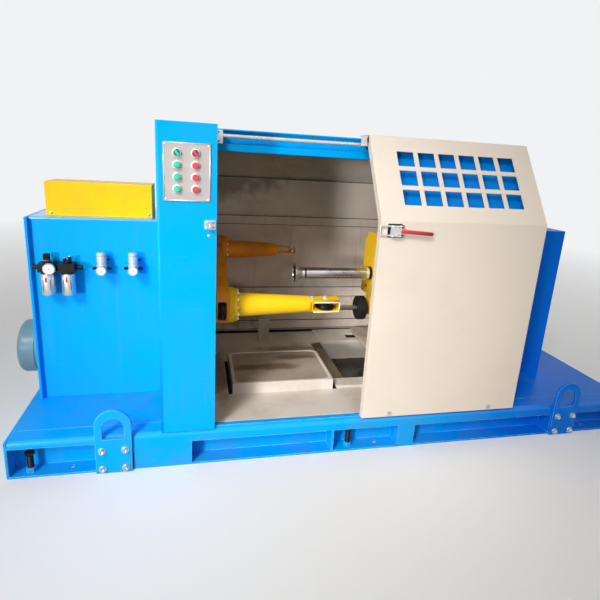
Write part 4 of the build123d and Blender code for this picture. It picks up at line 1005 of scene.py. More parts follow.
def makeMotor(values):
    low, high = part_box("main_motor")
    radius = (high.y - low.y) / 2
    centre = Vector((0, (low.y + high.y) / 2, high.z - radius))
    bm = bmesh.new()
    bend = [math.pi / 2 * step / 8 for step in range(9)]
    rim = [(values["round"] * (1 - math.sin(a)), radius - values["round"] * (1 - math.cos(a)))
           for a in reversed(bend)]
    inner = values["grilleRadius"]
    profile = [(values["recess"], 0), (values["recess"], inner), (0.0, inner)] + rim
    profile += [(0.072, radius), (0.0725, radius - 0.003), (0.0755, radius - 0.003), (0.076, radius),
                (high.x - low.x, radius), (high.x - low.x, 0)]
    addLathe(bm, profile, (low.x, centre.y, centre.z), (1, 0, 0), 0, 72)
    for face in bm.faces:
        middle = face.calc_center_median()
        if middle.x < low.x + values["recess"] + 0.0005 and abs((middle - Vector((middle.x, centre.y, centre.z))).length) < inner - 0.001:
            face.material_index = 1
    addBox(bm, (-1.276, centre.y - 0.095, 0.148), (-1.076, centre.y + 0.095, centre.z))
    for ring in range(1, values["rings"] + 1):
        reach = inner * ring / (values["rings"] + 0.3)
        wire = [(values["wire"] * math.cos(math.tau * k / 8) + 0.003,
                 reach + values["wire"] * math.sin(math.tau * k / 8)) for k in range(8)]
        addLathe(bm, wire, (low.x, centre.y, centre.z), (1, 0, 0), 2, 56, ring=True)
    for spoke in range(values["spokes"]):
        angle = math.tau * spoke / values["spokes"]
        out = Vector((0, math.cos(angle), math.sin(angle)))
        start = Vector((low.x + 0.0055, centre.y, centre.z)) + out * 0.010
        addLathe(bm, [(0, values["wire"]), (inner - 0.009, values["wire"])], start, out, 2, 8)
    shadeByAngle(bm)
    makePiece(bm, "motorCowl", "frame", ["greyPaint", "darkSteel", "zincSteel"], ("main_motor",))


def makeInlet():
    low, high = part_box("wire_inlet")
    rim = (high.y - low.y) / 2
    bm = bmesh.new()
    flange = 0.046
    profile = [(0.0, 0.020), (0.0, 0.030), (0.002, 0.032), (0.0098, 0.032), (0.0105, rim - 0.001),
               (0.0115, rim), (0.0175, rim), (0.018, 0.0325), (0.0185, 0.032), (flange - 0.001, 0.032),
               (flange, 0.031), (flange, 0.0165), (flange - 0.001, 0.016), (0.008, 0.016), (0.003, 0.017)]
    addLathe(bm, profile, (low.x, 0, 0.638), (1, 0, 0), 0, 56, ring=True)
    shadeByAngle(bm)
    makePiece(bm, "wireInlet", "frame", ["zincSteel"], ("wire_inlet",))


makeMotor(cowlValues)
makeInlet()
print("stage: motor cowl and wire inlet")

# button panel: a brushed plate with a raised rim, two selector knobs and six push buttons
buttonValues = {"bezel": 0.015, "bezelHeight": 0.0075, "cap": 0.0106, "capHeight": 0.0045,
                "columns": (0.044, 0.104),
                "firstRow": 0.033, "rowPitch": 0.039, "rows": 4, "screwInset": 0.007,
                "knobTurn": -52, "knobWidth": 0.0075}


def makeButtons(values):
    low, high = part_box("button_panel")
    bm = bmesh.new()
    plate = [(x, z) for x, z in roundedBox(high.x - low.x, high.z - low.z, 0.003)]
    middle = ((low.x + high.x) / 2, high.y, (low.z + high.z) / 2)
    addOutline(bm, plate, middle, (1, 0, 0), (0, 0, 1), 0.0030, 0, 0.0008)
    width, height, rim = high.x - low.x, high.z - low.z, 0.004
    for a0, a1, b0, b1 in ((0, width, 0, rim), (0, width, height - rim, height), (0, rim, rim, height - rim),
                           (width - rim, width, rim, height - rim)):
        addBox(bm, (low.x + a0, low.y, low.z + b0), (low.x + a1, high.y - 0.001, low.z + b1), 1, 0.0007)
    shadeByAngle(bm)
    makePiece(bm, "buttonPanel", "frame", ["brushedPanel", "paleSteel"], ("button_panel",))

    face = low.y
    bezels, green, red = bmesh.new(), bmesh.new(), bmesh.new()
    bend = [math.pi / 2 * step / 6 for step in range(7)]
    for number, inset in enumerate(values["columns"]):
        for row in range(values["rows"]):
            centre = (low.x + inset, face, high.z - values["firstRow"] - row * values["rowPitch"])
            ringHeight, ringRadius = values["bezelHeight"], values["bezel"]
            ring = [(-0.0008, ringRadius), (0.0015, ringRadius), (ringHeight - 0.0005, ringRadius - 0.0026),
                    (ringHeight, ringRadius - 0.0034), (ringHeight - 0.0030, ringRadius - 0.0042),
                    (-0.0008, ringRadius - 0.0042)]
            addLathe(bezels, ring, centre, (0, -1, 0), 0, 40, ring=True)
            buttons = green if number == 0 else red
            cap, capTop = values["cap"], values["bezelHeight"] + values["capHeight"]
            if row == 0:
                # a knob: a bar across a disc painted dark, as painted shade of the bar
                disc = [(0.0, cap), (ringHeight - 0.002, cap), (ringHeight - 0.002, 0)]
                paintFaces(addLathe(buttons, disc, centre, (0, -1, 0), 0, 36), 1)
                turn = math.radians(values["knobTurn"])
                addOutline(buttons, roundedBox(1.9 * cap, values["knobWidth"], 0.002),
                           (centre[0], face - ringHeight + 0.003, centre[2]), (math.cos(turn), 0, math.sin(turn)),
                           (-math.sin(turn), 0, math.cos(turn)), values["capHeight"] + 0.003, 0, 0.0009)
                continue
            dome = [(0.0, cap), (capTop - 0.0035, cap)]
            dome += [(capTop - 0.0035 + 0.0035 * math.sin(a), cap - 0.0035 * (1 - math.cos(a))) for a in bend[1:]]
            dome.append((capTop - 0.0003, 0))
            addLathe(buttons, dome, centre, (0, -1, 0), 0, 36)
    for bm, name, materials, stoodFor in ((bezels, "buttonBezels", ["dialFace"], ()),
                                          (green, "startButtons", ["greenButton", "greenKnobShade"],
                                           ("push_buttons",)),
                                          (red, "stopButtons", ["redButton", "redKnobShade"], ())):
        shadeByAngle(bm)
        makePiece(bm, name, "frame", materials, stoodFor)


makeButtons(buttonValues)
panelLow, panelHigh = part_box("button_panel")
panelCorners = [((x, panelLow.y + 0.001, z), (0, -1, 0))
                for x in (panelLow.x + buttonValues["screwInset"], panelHigh.x - buttonValues["screwInset"])
                for z in (panelLow.z + buttonValues["screwInset"], panelHigh.z - buttonValues["screwInset"])]
setFasteners("panelScrews", "frame", "paleSteel", panelCorners, tinyHead)

# the catch on the column and the toggle latch on the door
catchLow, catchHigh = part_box("latch_catch")
bm = bmesh.new()
addBox(bm, (catchLow.x, catchHigh.y - 0.003, catchLow.z), catchHigh, 0, 0.001)
for low, high in ((catchLow.z + 0.005, catchLow.z + 0.010), (catchHigh.z - 0.010, catchHigh.z - 0.005)):
    hook = [(0.0, 0.002), (-0.018, 0.002), (-0.024, 0.006), (-0.024, 0.012), (-0.017, 0.012), (-0.017, 0.018),
            (-0.012, 0.022), (0.0, 0.027)]
    addOutline(bm, [(y, x) for y, x in hook], (catchHigh.x - 0.029, catchHigh.y, low), (0, 1, 0), (1, 0, 0),
               -(high - low), 0, 0.0007)
addLathe(bm, [(0, 0.0035), (catchHigh.z - catchLow.z - 0.010, 0.0035)],
         (catchHigh.x - 0.020, catchLow.y + 0.006, catchLow.z + 0.005), (0, 0, 1), 0, 16)
shadeByAngle(bm)
makePiece(bm, "latchCatch", "frame", ["zincSteel"], ("latch_catch",))
catchScrews = [((x, catchHigh.y - 0.003, z), (0, -1, 0)) for x in (catchLow.x + 0.006,)
               for z in (catchLow.z + 0.008, catchHigh.z - 0.008)]
catchScrews.append((((catchLow.x + catchHigh.x) / 2 - 0.004, catchHigh.y, catchLow.z - 0.022), (0, -1, 0)))
setFasteners("catchScrews", "frame", "zincSteel", catchScrews, panHead)

latchValues = {"bodyShift": 0.034, "sheet": 0.0025, "cheek": 0.0035, "loop": 0.003, "loopRise": 0.009,
               "handleLength": 0.118, "handleWidth": 0.013, "handleDepth": 0.008, "handleFall": 3.5}


def makeLatch(values):
    low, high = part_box("door_latch")
    back, front = high.y, low.y
    left, right = low.x, high.x - values["handleLength"]
    bodyLeft = left + values["bodyShift"]
    middle = (low.z + high.z) / 2
    bm = bmesh.new()
    plate = roundedBox(right - bodyLeft, high.z - low.z, 0.004)
    # the back plate is dark steel, as painted shade in the gaps between the latch's parts
    addOutline(bm, plate, ((bodyLeft + right) / 2, back, middle), (1, 0, 0), (0, 0, 1), values["sheet"], 1, 0.0006)
    cheekSide = [(0.002, 0.0), (0.052, 0.0), (0.056, 0.010), (0.054, 0.020), (0.044, 0.026), (0.030, 0.020),
                 (0.016, 0.022), (0.006, 0.014)]
    for z in (low.z + 0.006, high.z - 0.006 - values["cheek"]):
        addOutline(bm, [(-y, x) for x, y in cheekSide], (bodyLeft, back, z), (0, 1, 0), (1, 0, 0),
                   -values["cheek"], 0, 0.0006)
    # the lever: a pressed channel that narrows towards the handle
    lever = [(0.006, -0.014), (0.028, -0.016), (0.050, -0.010), (0.060, -0.0065), (0.060, 0.0065),
             (0.050, 0.010), (0.028, 0.016), (0.006, 0.014)]
    addOutline(bm, lever, (bodyLeft, back - 0.014, middle), (1, 0, 0), (0, 0, 1), 0.006, 0, 0.0018)
    for x, y in ((0.014, 0.016), (0.046, 0.016)):
        addLathe(bm, [(0, 0.003), (high.z - low.z - 0.008, 0.003)], (bodyLeft + x, back - y, low.z + 0.004),
                 (0, 0, 1), 0, 18)
    for z in (low.z + 0.0105, high.z - 0.0105):
        addLathe(bm, [(0, 0.0025), (0.0015, 0.0045), (0.003, 0.0045), (0.004, 0.0)],
                 (bodyLeft + 0.030, back - 0.020, z), (0, -1, 0), 0, 18)
    wire = values["loop"]
    loopY = back - 0.004 - wire
    zLow, zHigh = low.z + values["loopRise"], high.z - values["loopRise"]
    for z in (zLow, zHigh):
        addLathe(bm, [(0, wire), (bodyLeft + 0.014 - left - wire, wire)], (left + wire, loopY, z), (1, 0, 0), 0, 16)
    addLathe(bm, [(0, wire * 0.9), (wire, wire), (zHigh - zLow + wire, wire), (zHigh - zLow + 2 * wire, wire * 0.9)],
             (left + wire, loopY, zLow - wire), (0, 0, 1), 0, 16)
    shadeByAngle(bm)
    makePiece(bm, "toggleLatch", "door", ["paleSteel", "darkSteel"], ("door_latch",))

    bm = bmesh.new()
    outline = roundedBox(values["handleLength"] + 0.012, values["handleWidth"], 0.004)
    fall = math.radians(values["handleFall"])
    addOutline(bm, outline, ((right - 0.012 + high.x) / 2, front + values["handleDepth"],
                             middle - values["handleLength"] / 2 * math.sin(fall)),
               (math.cos(fall), 0, -math.sin(fall)), (math.sin(fall), 0, math.cos(fall)), values["handleDepth"], 0,
               0.0022)
    shadeByAngle(bm)
    makePiece(bm, "latchHandle", "door", ["redPlastic"])

    bm = bmesh.new()
    for z0, z1 in ((low.z + 0.001, low.z + 0.012), (high.z - 0.015, high.z - 0.004)):
        addBox(bm, (right - 0.012, back - 0.012, z0), (right + 0.001, back - 0.002, z1), 0, 0.002)
    shadeByAngle(bm)
    makePiece(bm, "latchStops", "door", ["blackPlastic"])


makeLatch(latchValues)
print("stage: button panel, catch and latch")

# the door's top flange ends in a turned-down tab at the left
doorLow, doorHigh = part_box("sliding_door")
tabValues = {"sheet": 0.003, "front": -0.352, "back": -0.262, "drop": 0.043}
bm = bmesh.new()
addBox(bm, (doorLow.x, tabValues["front"], doorHigh.z - tabValues["drop"]),
       (doorLow.x + tabValues["sheet"], tabValues["back"], doorHigh.z - 0.002), 0, 0.0008)
makePiece(bm, "doorTab", "door", ["creamPaint"])

# the rail rod with its brackets, and the door's hangers and rollers
dressNode("door_rail", "doorRail", "paleSteel", 0.0012)
railLow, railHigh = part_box("door_rail")
railBolts = [((x, railLow.y, z), (0, -1, 0)) for x in (railLow.x + 0.017, railHigh.x - 0.017)
             for z in (railLow.z + 0.008, railHigh.z - 0.008)]
setFasteners("railBolts", "frame", "darkSteel", railBolts, tinyHead)
dressNode("door_hangers", "doorHangers", "blackPlastic", 0.002)
dressNode("door_rollers", "doorRollers", "zincSteel", 0.0012)

# rotor: hub, arms and forks with the bolts of their flanges
hubLow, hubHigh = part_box("rotor_hub")
rotorValues = {"angle": 8, "radius": 0.349, "height": 0.638, "flange": -0.525, "ringRadius": 0.0595, "ringCount": 12}
rollerValues = {"x": -0.158, "radius": 0.020, "width": 0.018, "bore": 0.0085}
leanCos, leanSin = math.cos(math.radians(rotorValues["angle"])), math.sin(math.radians(rotorValues["angle"]))


def rotorPoint(x, outward, across):
    # outward along the front arm's radius, across along its tangent
    return Vector((x, -outward * leanCos + across * leanSin,
                   rotorValues["height"] - outward * leanSin - across * leanCos))


radial = rotorPoint(0, 1, 0) - rotorPoint(0, 0, 0)
tangent = rotorPoint(0, 0, 1) - rotorPoint(0, 0, 0)
# the rear arm takes the darker orange copy of the yellow, as painted shade
for node, name, material in (("front_flyer_arm", "frontFlyerArm", "yellowPaint"),
                             ("rear_flyer_arm", "rearFlyerArm", "shadedYellowPaint"),
                             ("front_fork", "frontFork", "yellowPaint")):
    dressNode(node, name, material, 0.0018)

# the rear fork: two straps that close in on the roller, with its pin between them
rearForkValues = {"start": -0.252, "end": -0.143, "wide": 0.0205, "narrow": 0.0165, "strap": 0.0050,
                  "halfDepth": 0.014, "pin": 0.006}


def makeRearFork(values):
    start, end, strap = values["start"], values["end"], values["strap"]
    deep = values["halfDepth"]
    bm = bmesh.new()
    for side in (1, -1):
        strapSide = [(start, side * (values["wide"] - strap)), (end, side * (values["narrow"] - strap)),
                     (end, side * values["narrow"]), (start, side * values["wide"])]
        addOutline(bm, strapSide if side > 0 else strapSide[::-1], rotorPoint(0, -rotorValues["radius"] + deep, 0),
                   (1, 0, 0), tangent, 2 * deep, 0, 0.0008)
    foot = [(start, -values["wide"]), (start + 0.006, -values["wide"]), (start + 0.006, values["wide"]),
            (start, values["wide"])]
    addOutline(bm, foot, rotorPoint(0, -rotorValues["radius"] + deep + 0.001, 0), (1, 0, 0), tangent,
               2 * deep + 0.002, 0, 0.0008)
    bmesh.ops.recalc_face_normals(bm, faces=bm.faces)
    addLathe(bm, [(-values["narrow"], values["pin"]), (values["narrow"], values["pin"])],
             rotorPoint(rollerValues["x"], -rotorValues["radius"], 0), tangent, 1, 24)
    shadeByAngle(bm)
    # the straps take the darker orange copy of the yellow, as painted shade
    makePiece(bm, "rearFork", "rotor", ["shadedYellowPaint", "zincSteel"], ("rear_fork",))


makeRearFork(rearForkValues)

# the hub's front end holds a black wire guide in a pocket
pocketValues = {"left": -0.606, "right": -0.570, "halfHeight": 0.041, "bottom": 0.392, "end": 0.424}
pocket = bmesh.new()
pocketMiddle = (pocketValues["left"] + pocketValues["right"]) / 2
pocketWidth = pocketValues["right"] - pocketValues["left"]
addOutline(pocket, roundedBox(pocketWidth, 2 * pocketValues["halfHeight"], 0.008),
           rotorPoint(pocketMiddle, pocketValues["bottom"], 0), (1, 0, 0), -tangent, 0.06)
# the hub takes the darker orange copy of the yellow, as painted shade
dressNode("rotor_hub", "rotorHub", "shadedYellowPaint", 0.0018, cutter=pocket)
bm = bmesh.new()
addOutline(bm, roundedBox(pocketWidth - 0.004, 2 * pocketValues["halfHeight"] - 0.004, 0.007),
           rotorPoint(pocketMiddle, pocketValues["bottom"] + 0.0003, 0), (1, 0, 0), -tangent, 0.014, 0, 0.001)
addLathe(bm, [(-0.030, 0), (-0.030, 0.011), (-0.014, 0.011), (-0.010, 0.007), (0.010, 0.007), (0.014, 0.011),
              (0.030, 0.011), (0.030, 0)], rotorPoint(pocketMiddle, pocketValues["bottom"] + 0.019, 0), tangent, 0, 32)
shadeByAngle(bm)
makePiece(bm, "hubWireGuide", "rotor", ["blackPlastic"])

# the strap's front part round the pulley, with a pale cream edge
strapValues = {"foot": 0.3706, "depth": 0.0170, "edge": 0.0008}
bm = bmesh.new()
strapEdge = [(-0.206, 0.0192), (-0.0962, 0.0192), (-0.0962, -0.0192), (-0.206, -0.0192), (-0.206, -0.0246),
             (-0.0904, -0.0246), (-0.0904, 0.0246), (-0.206, 0.0246)]
addOutline(bm, strapEdge, rotorPoint(0, strapValues["foot"], 0), (1, 0, 0), -tangent, strapValues["depth"])
addOutline(bm, strapEdge, rotorPoint(0, strapValues["foot"] + strapValues["depth"], 0), (1, 0, 0), -tangent,
           strapValues["edge"], 1)
shadeByAngle(bm)
makePiece(bm, "strapFrame", "rotor", ["yellowPaint", "creamPaint"])
ringSpots = []
for side in (1, -1):
    for step in range(rotorValues["ringCount"]):
        angle = math.tau * (step + 0.5) / rotorValues["ringCount"]
        ringSpots.append((rotorPoint(rotorValues["flange"],
                                     side * rotorValues["radius"] + rotorValues["ringRadius"] * math.cos(angle),
                                     rotorValues["ringRadius"] * math.sin(angle)), (1, 0, 0)))
setFasteners("flangeBolts", "rotor", "zincSteel", ringSpots, hexHead)
forkSpots = []
for side, x, reach in ((1, -0.148, 0.025), (1, -0.209, 0.025), (-1, -0.158, 0.0165)):
    for turn in (1, -1):
        forkSpots.append((rotorPoint(x, side * rotorValues["radius"], turn * reach), tangent * turn))
forkNut = {"Head Radius": 0.0098, "Head Height": 0.0078, "Sides": 6, "Chamfer": 0.8, "Socket Share": 0.5,
           "Socket Depth": -0.002, "Washer Radius": 0.012, "Washer Height": 0.0014, "Seed": 21}
setFasteners("forkNuts", "rotor", "paleSteel", forkSpots, forkNut)

# guide pulley and roller at the arms' ends
pulleyValues = {"x": -0.148, "radius": 0.042, "width": 0.026, "groove": 0.009, "rim": 0.007, "bore": 0.0085}


def makePulley(values):
    half, outer, floorRadius = values["width"] / 2, values["radius"], values["radius"] - values["groove"]
    rim = values["rim"]
    profile = [(-half, values["bore"]), (-half, 0.014), (-half + 0.003, 0.016), (-half + 0.003, floorRadius - 0.006),
               (-half, floorRadius - 0.003), (-half, outer - 0.001), (-half + 0.001, outer),
               (-half + rim - 0.002, outer), (-half + rim, outer - 0.002)]
    profile += [(-half + rim + 0.001 + (2 * half - 2 * rim - 0.002) * step / 6,
                 floorRadius + 0.003 - 0.003 * math.sin(math.pi * step / 6)) for step in range(7)]
    profile += [(-distance, radius) for distance, radius in reversed(profile[:9])]
    bm = bmesh.new()
    addLathe(bm, profile, rotorPoint(values["x"], rotorValues["radius"], 0), tangent, 0, 64, ring=True)
    shadeByAngle(bm)
    makePiece(bm, "guidePulley", "flyer_pulley", ["blackPlastic"], ("guide_pulley",))


def makeRoller(values):
    half, outer = values["width"] / 2, values["radius"]
    profile = [(-half, values["bore"]), (-half, outer - 0.001), (-half + 0.001, outer), (-half + 0.003, outer),
               (-half + 0.006, outer - 0.004), (half - 0.006, outer - 0.004), (half - 0.003, outer),
               (half - 0.001, outer), (half, outer - 0.001), (half, values["bore"])]
    bm = bmesh.new()
    addLathe(bm, profile, rotorPoint(values["x"], -rotorValues["radius"], 0), tangent, 0, 48, ring=True)
    shadeByAngle(bm)
    makePiece(bm, "guideRoller", "flyer_roller", ["zincSteel"], ("guide_roller",))


makePulley(pulleyValues)
makeRoller(rollerValues)
print("stage: rotor dressed")

# take-up spindle, its drive pin and buffer
spindleValues = {"height": 0.638, "radius": 0.028, "flare": 0.048, "rim": 0.005, "recess": 0.004,
                 "recessRadius": 0.041, "sleeve": 0.0275, "sleeveStart": 0.044, "groove": (0.051, 0.058, 0.023)}


def makeSpindle(values):
    low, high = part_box("takeup_spindle")
    length, radius, flare = high.x - low.x, values["radius"], values["flare"]
    recess, dip, rim = values["recess"], values["recessRadius"], values["rim"]
    profile = [(recess, 0), (recess, dip), (0.0005, dip + 0.001), (0.0, dip + 0.002), (0.0, flare - 0.0015),
               (0.0015, flare), (rim - 0.001, flare), (rim, flare - 0.001)]
    sweep = 9
    for count in range(1, sweep + 1):
        share = count / sweep
        profile.append((rim + (values["sleeveStart"] - rim) * share,
                        values["sleeve"] + (flare - 0.001 - values["sleeve"]) * (1 - share) ** 2.4))
    grooveStart, grooveEnd, grooveRadius = values["groove"]
    profile += [(grooveStart - 0.003, values["sleeve"] + 0.0008), (grooveStart, values["sleeve"]),
                (grooveStart, grooveRadius), (grooveEnd, grooveRadius), (grooveEnd, radius - 0.001),
                (grooveEnd + 0.001, radius)]
    pulleyStart, pulleyRadius = length - 0.040, high.z - values["height"]
    profile += [(pulleyStart, radius), (pulleyStart, pulleyRadius - 0.002), (pulleyStart + 0.002, pulleyRadius)]
    for groove in range(3):
        start = pulleyStart + 0.006 + groove * 0.011
        profile += [(start, pulleyRadius), (start + 0.002, pulleyRadius - 0.008),
                    (start + 0.004, pulleyRadius - 0.008), (start + 0.006, pulleyRadius)]
    profile += [(length - 0.002, pulleyRadius), (length, pulleyRadius - 0.002), (length, 0)]
    bm = bmesh.new()
    addLathe(bm, profile, (low.x, 0, values["height"]), (1, 0, 0), 0, 64)
    for face in bm.faces:
        middle = face.calc_center_median()
        reach = Vector((middle.y, middle.z - values["height"])).length
        along = middle.x - low.x
        if along > pulleyStart - 0.001 or (along < recess + 0.0002 and reach < dip):
            face.material_index = 1
        elif grooveStart - 0.0005 < along < grooveEnd + 0.0005 and reach < grooveRadius + 0.003:
            face.material_index = 2
    shadeByAngle(bm, 36)
    makePiece(bm, "takeupSpindle", "spindle", ["chromed", "darkSteel", "blackPlastic"],
              ("takeup_spindle",))


def makeDrivePin():
    low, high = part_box("drive_pin")
    radius, middle = (high.y - low.y) / 2, (low.z + high.z) / 2
    bm = bmesh.new()
    addLathe(bm, [(0, 0), (0, radius - 0.003), (0.003, radius), (high.x - low.x, radius), (high.x - low.x, 0)],
             (low.x, 0, middle), (1, 0, 0), 0, 36)
    shadeByAngle(bm)
    makePiece(bm, "drivePin", "spindle", ["zincSteel"], ("drive_pin",))
    low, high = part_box("rubber_buffer")
    outer, length = (high.y - low.y) / 2, high.x - low.x
    bend = [math.pi / 2 * step / 5 for step in range(6)]
    rounding = 0.007
    profile = [(0, radius), (0, 0.021), (0.001, 0.022), (0.001, 0.032), (0, 0.033)]
    profile += [(rounding * (1 - math.sin(a)), outer - rounding * (1 - math.cos(a))) for a in reversed(bend)]
    for groove in range(1, 4):
        at = length * groove / 4
        profile += [(at - 0.0015, outer), (at, outer - 0.001), (at + 0.0015, outer)]
    profile += [(length - rounding * (1 - math.sin(a)), outer - rounding * (1 - math.cos(a))) for a in bend]
    profile += [(length, radius)]
    bm = bmesh.new()
    addLathe(bm, profile, (low.x, 0, middle), (1, 0, 0), 0, 64, ring=True)
    shadeByAngle(bm, 40)
    makePiece(bm, "rubberBuffer", "spindle", ["blackRubber"], ("rubber_buffer",))


# a black clamping ring and a pale ring where the spindle enters the driver plate
collarValues = {"black": (0.034, 0.014), "pale": (0.0315, 0.012)}


def makeCollar(values):
    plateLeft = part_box("driver_plate")[0].x
    (black, blackDepth), (pale, paleDepth) = values["black"], values["pale"]
    inner = spindleValues["radius"] + 0.0003
    bm = bmesh.new()
    for index, start, end, radius in ((0, blackDepth, 0.0002, black), (1, blackDepth + paleDepth, blackDepth, pale)):
        addLathe(bm, [(0, inner), (0, radius - 0.001), (0.001, radius), (start - end - 0.001, radius),
                      (start - end, radius - 0.001), (start - end, inner)],
                 (plateLeft - start, 0, spindleValues["height"]), (1, 0, 0), index, 56, ring=True)
    shadeByAngle(bm)
    makePiece(bm, "spindleCollar", "spindle", ["blackPlastic", "paleSteel"])


makeSpindle(spindleValues)
makeCollar(collarValues)
makeDrivePin()
print("stage: spindle, drive pin and buffer")

# the driver plate's small slot, as a black patch on the plate: painted shade of its hollow
driverLow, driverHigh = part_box("driver_plate")
bm = bmesh.new()
addOutline(bm, roundedBox(0.022, 0.009, 0.004), (driverLow.x + 0.0004, 0.041, 0.560), (0, -1, 0), (0, 0, 1), 0.001)
shadeByAngle(bm)
makePiece(bm, "driverSlotShade", "spindle", ["blackPlastic"])

# air units on the cabinet: a filter regulator with its lubricator, and two small regulators
airValues = {"bodyWidth": 0.058, "bodyLow": 0.702, "bodyHigh": 0.746, "bodyFront": -0.285, "bodyBack": -0.235,
             "first": -1.252, "second": -1.179, "bowl": 0.0255, "bowlHeight": 0.091, "cabinet": -0.223,
             "gauge": 0.022, "gaugeShift": 0.015, "gaugeDepth": 0.016, "portLeft": -1.305, "portRight": -1.123,
             "knob": 0.0128, "knobTop": 0.031,
             "regulators": (-1.054, -0.935), "regulatorY": -0.255, "regulatorLow": 0.699, "regulatorHigh": 0.783,
             "regulatorGauge": 0.019, "dialHeight": 0.713, "portReach": 0.036, "portHeight": 0.719}


def addGauge(parts, centre, radius, depth, tilt=0.6):
    # a round gauge that looks towards -Y: case and rim, white dial, ticks and a needle
    case, dial, marks = parts
    x, y, z = centre
    addLathe(case, [(0, 0), (0, radius * 0.82), (depth * 0.3, radius), (depth - 0.001, radius),
                    (depth, radius - 0.001), (depth, radius - 0.0028), (depth - 0.002, radius - 0.0034),
                    (depth - 0.002, 0)], centre, (0, -1, 0), 0, 40)
    face = y - depth + 0.0018
    addLathe(dial, [(0, radius - 0.0036), (0.0004, radius - 0.0036)], (x, face, z), (0, -1, 0), 0, 36)
    ticks = 11
    for tick in range(ticks):
        angle = math.radians(225 - 270 * tick / (ticks - 1))
        out = Vector((math.cos(angle), 0, math.sin(angle)))
        side = Vector((-out.z, 0, out.x))
        start = Vector((x, face - 0.0003, z)) + out * radius * 0.60
        addOutline(marks, [(-0.0003, 0), (0.0003, 0), (0.0003, radius * 0.17), (-0.0003, radius * 0.17)],
                   start, side, out, -0.0003)
    out = Vector((math.cos(tilt), 0, math.sin(tilt)))
    side = Vector((-out.z, 0, out.x))
    addOutline(marks, [(-0.0007, -radius * 0.2), (0.0007, -radius * 0.2), (0.0003, radius * 0.62),
                       (-0.0003, radius * 0.62)], (x, face - 0.0006, z), side, out, -0.0003)
    addLathe(marks, [(0, 0.0017), (0.0006, 0.0017)], (x, face - 0.0004, z), (0, -1, 0), 0, 14)


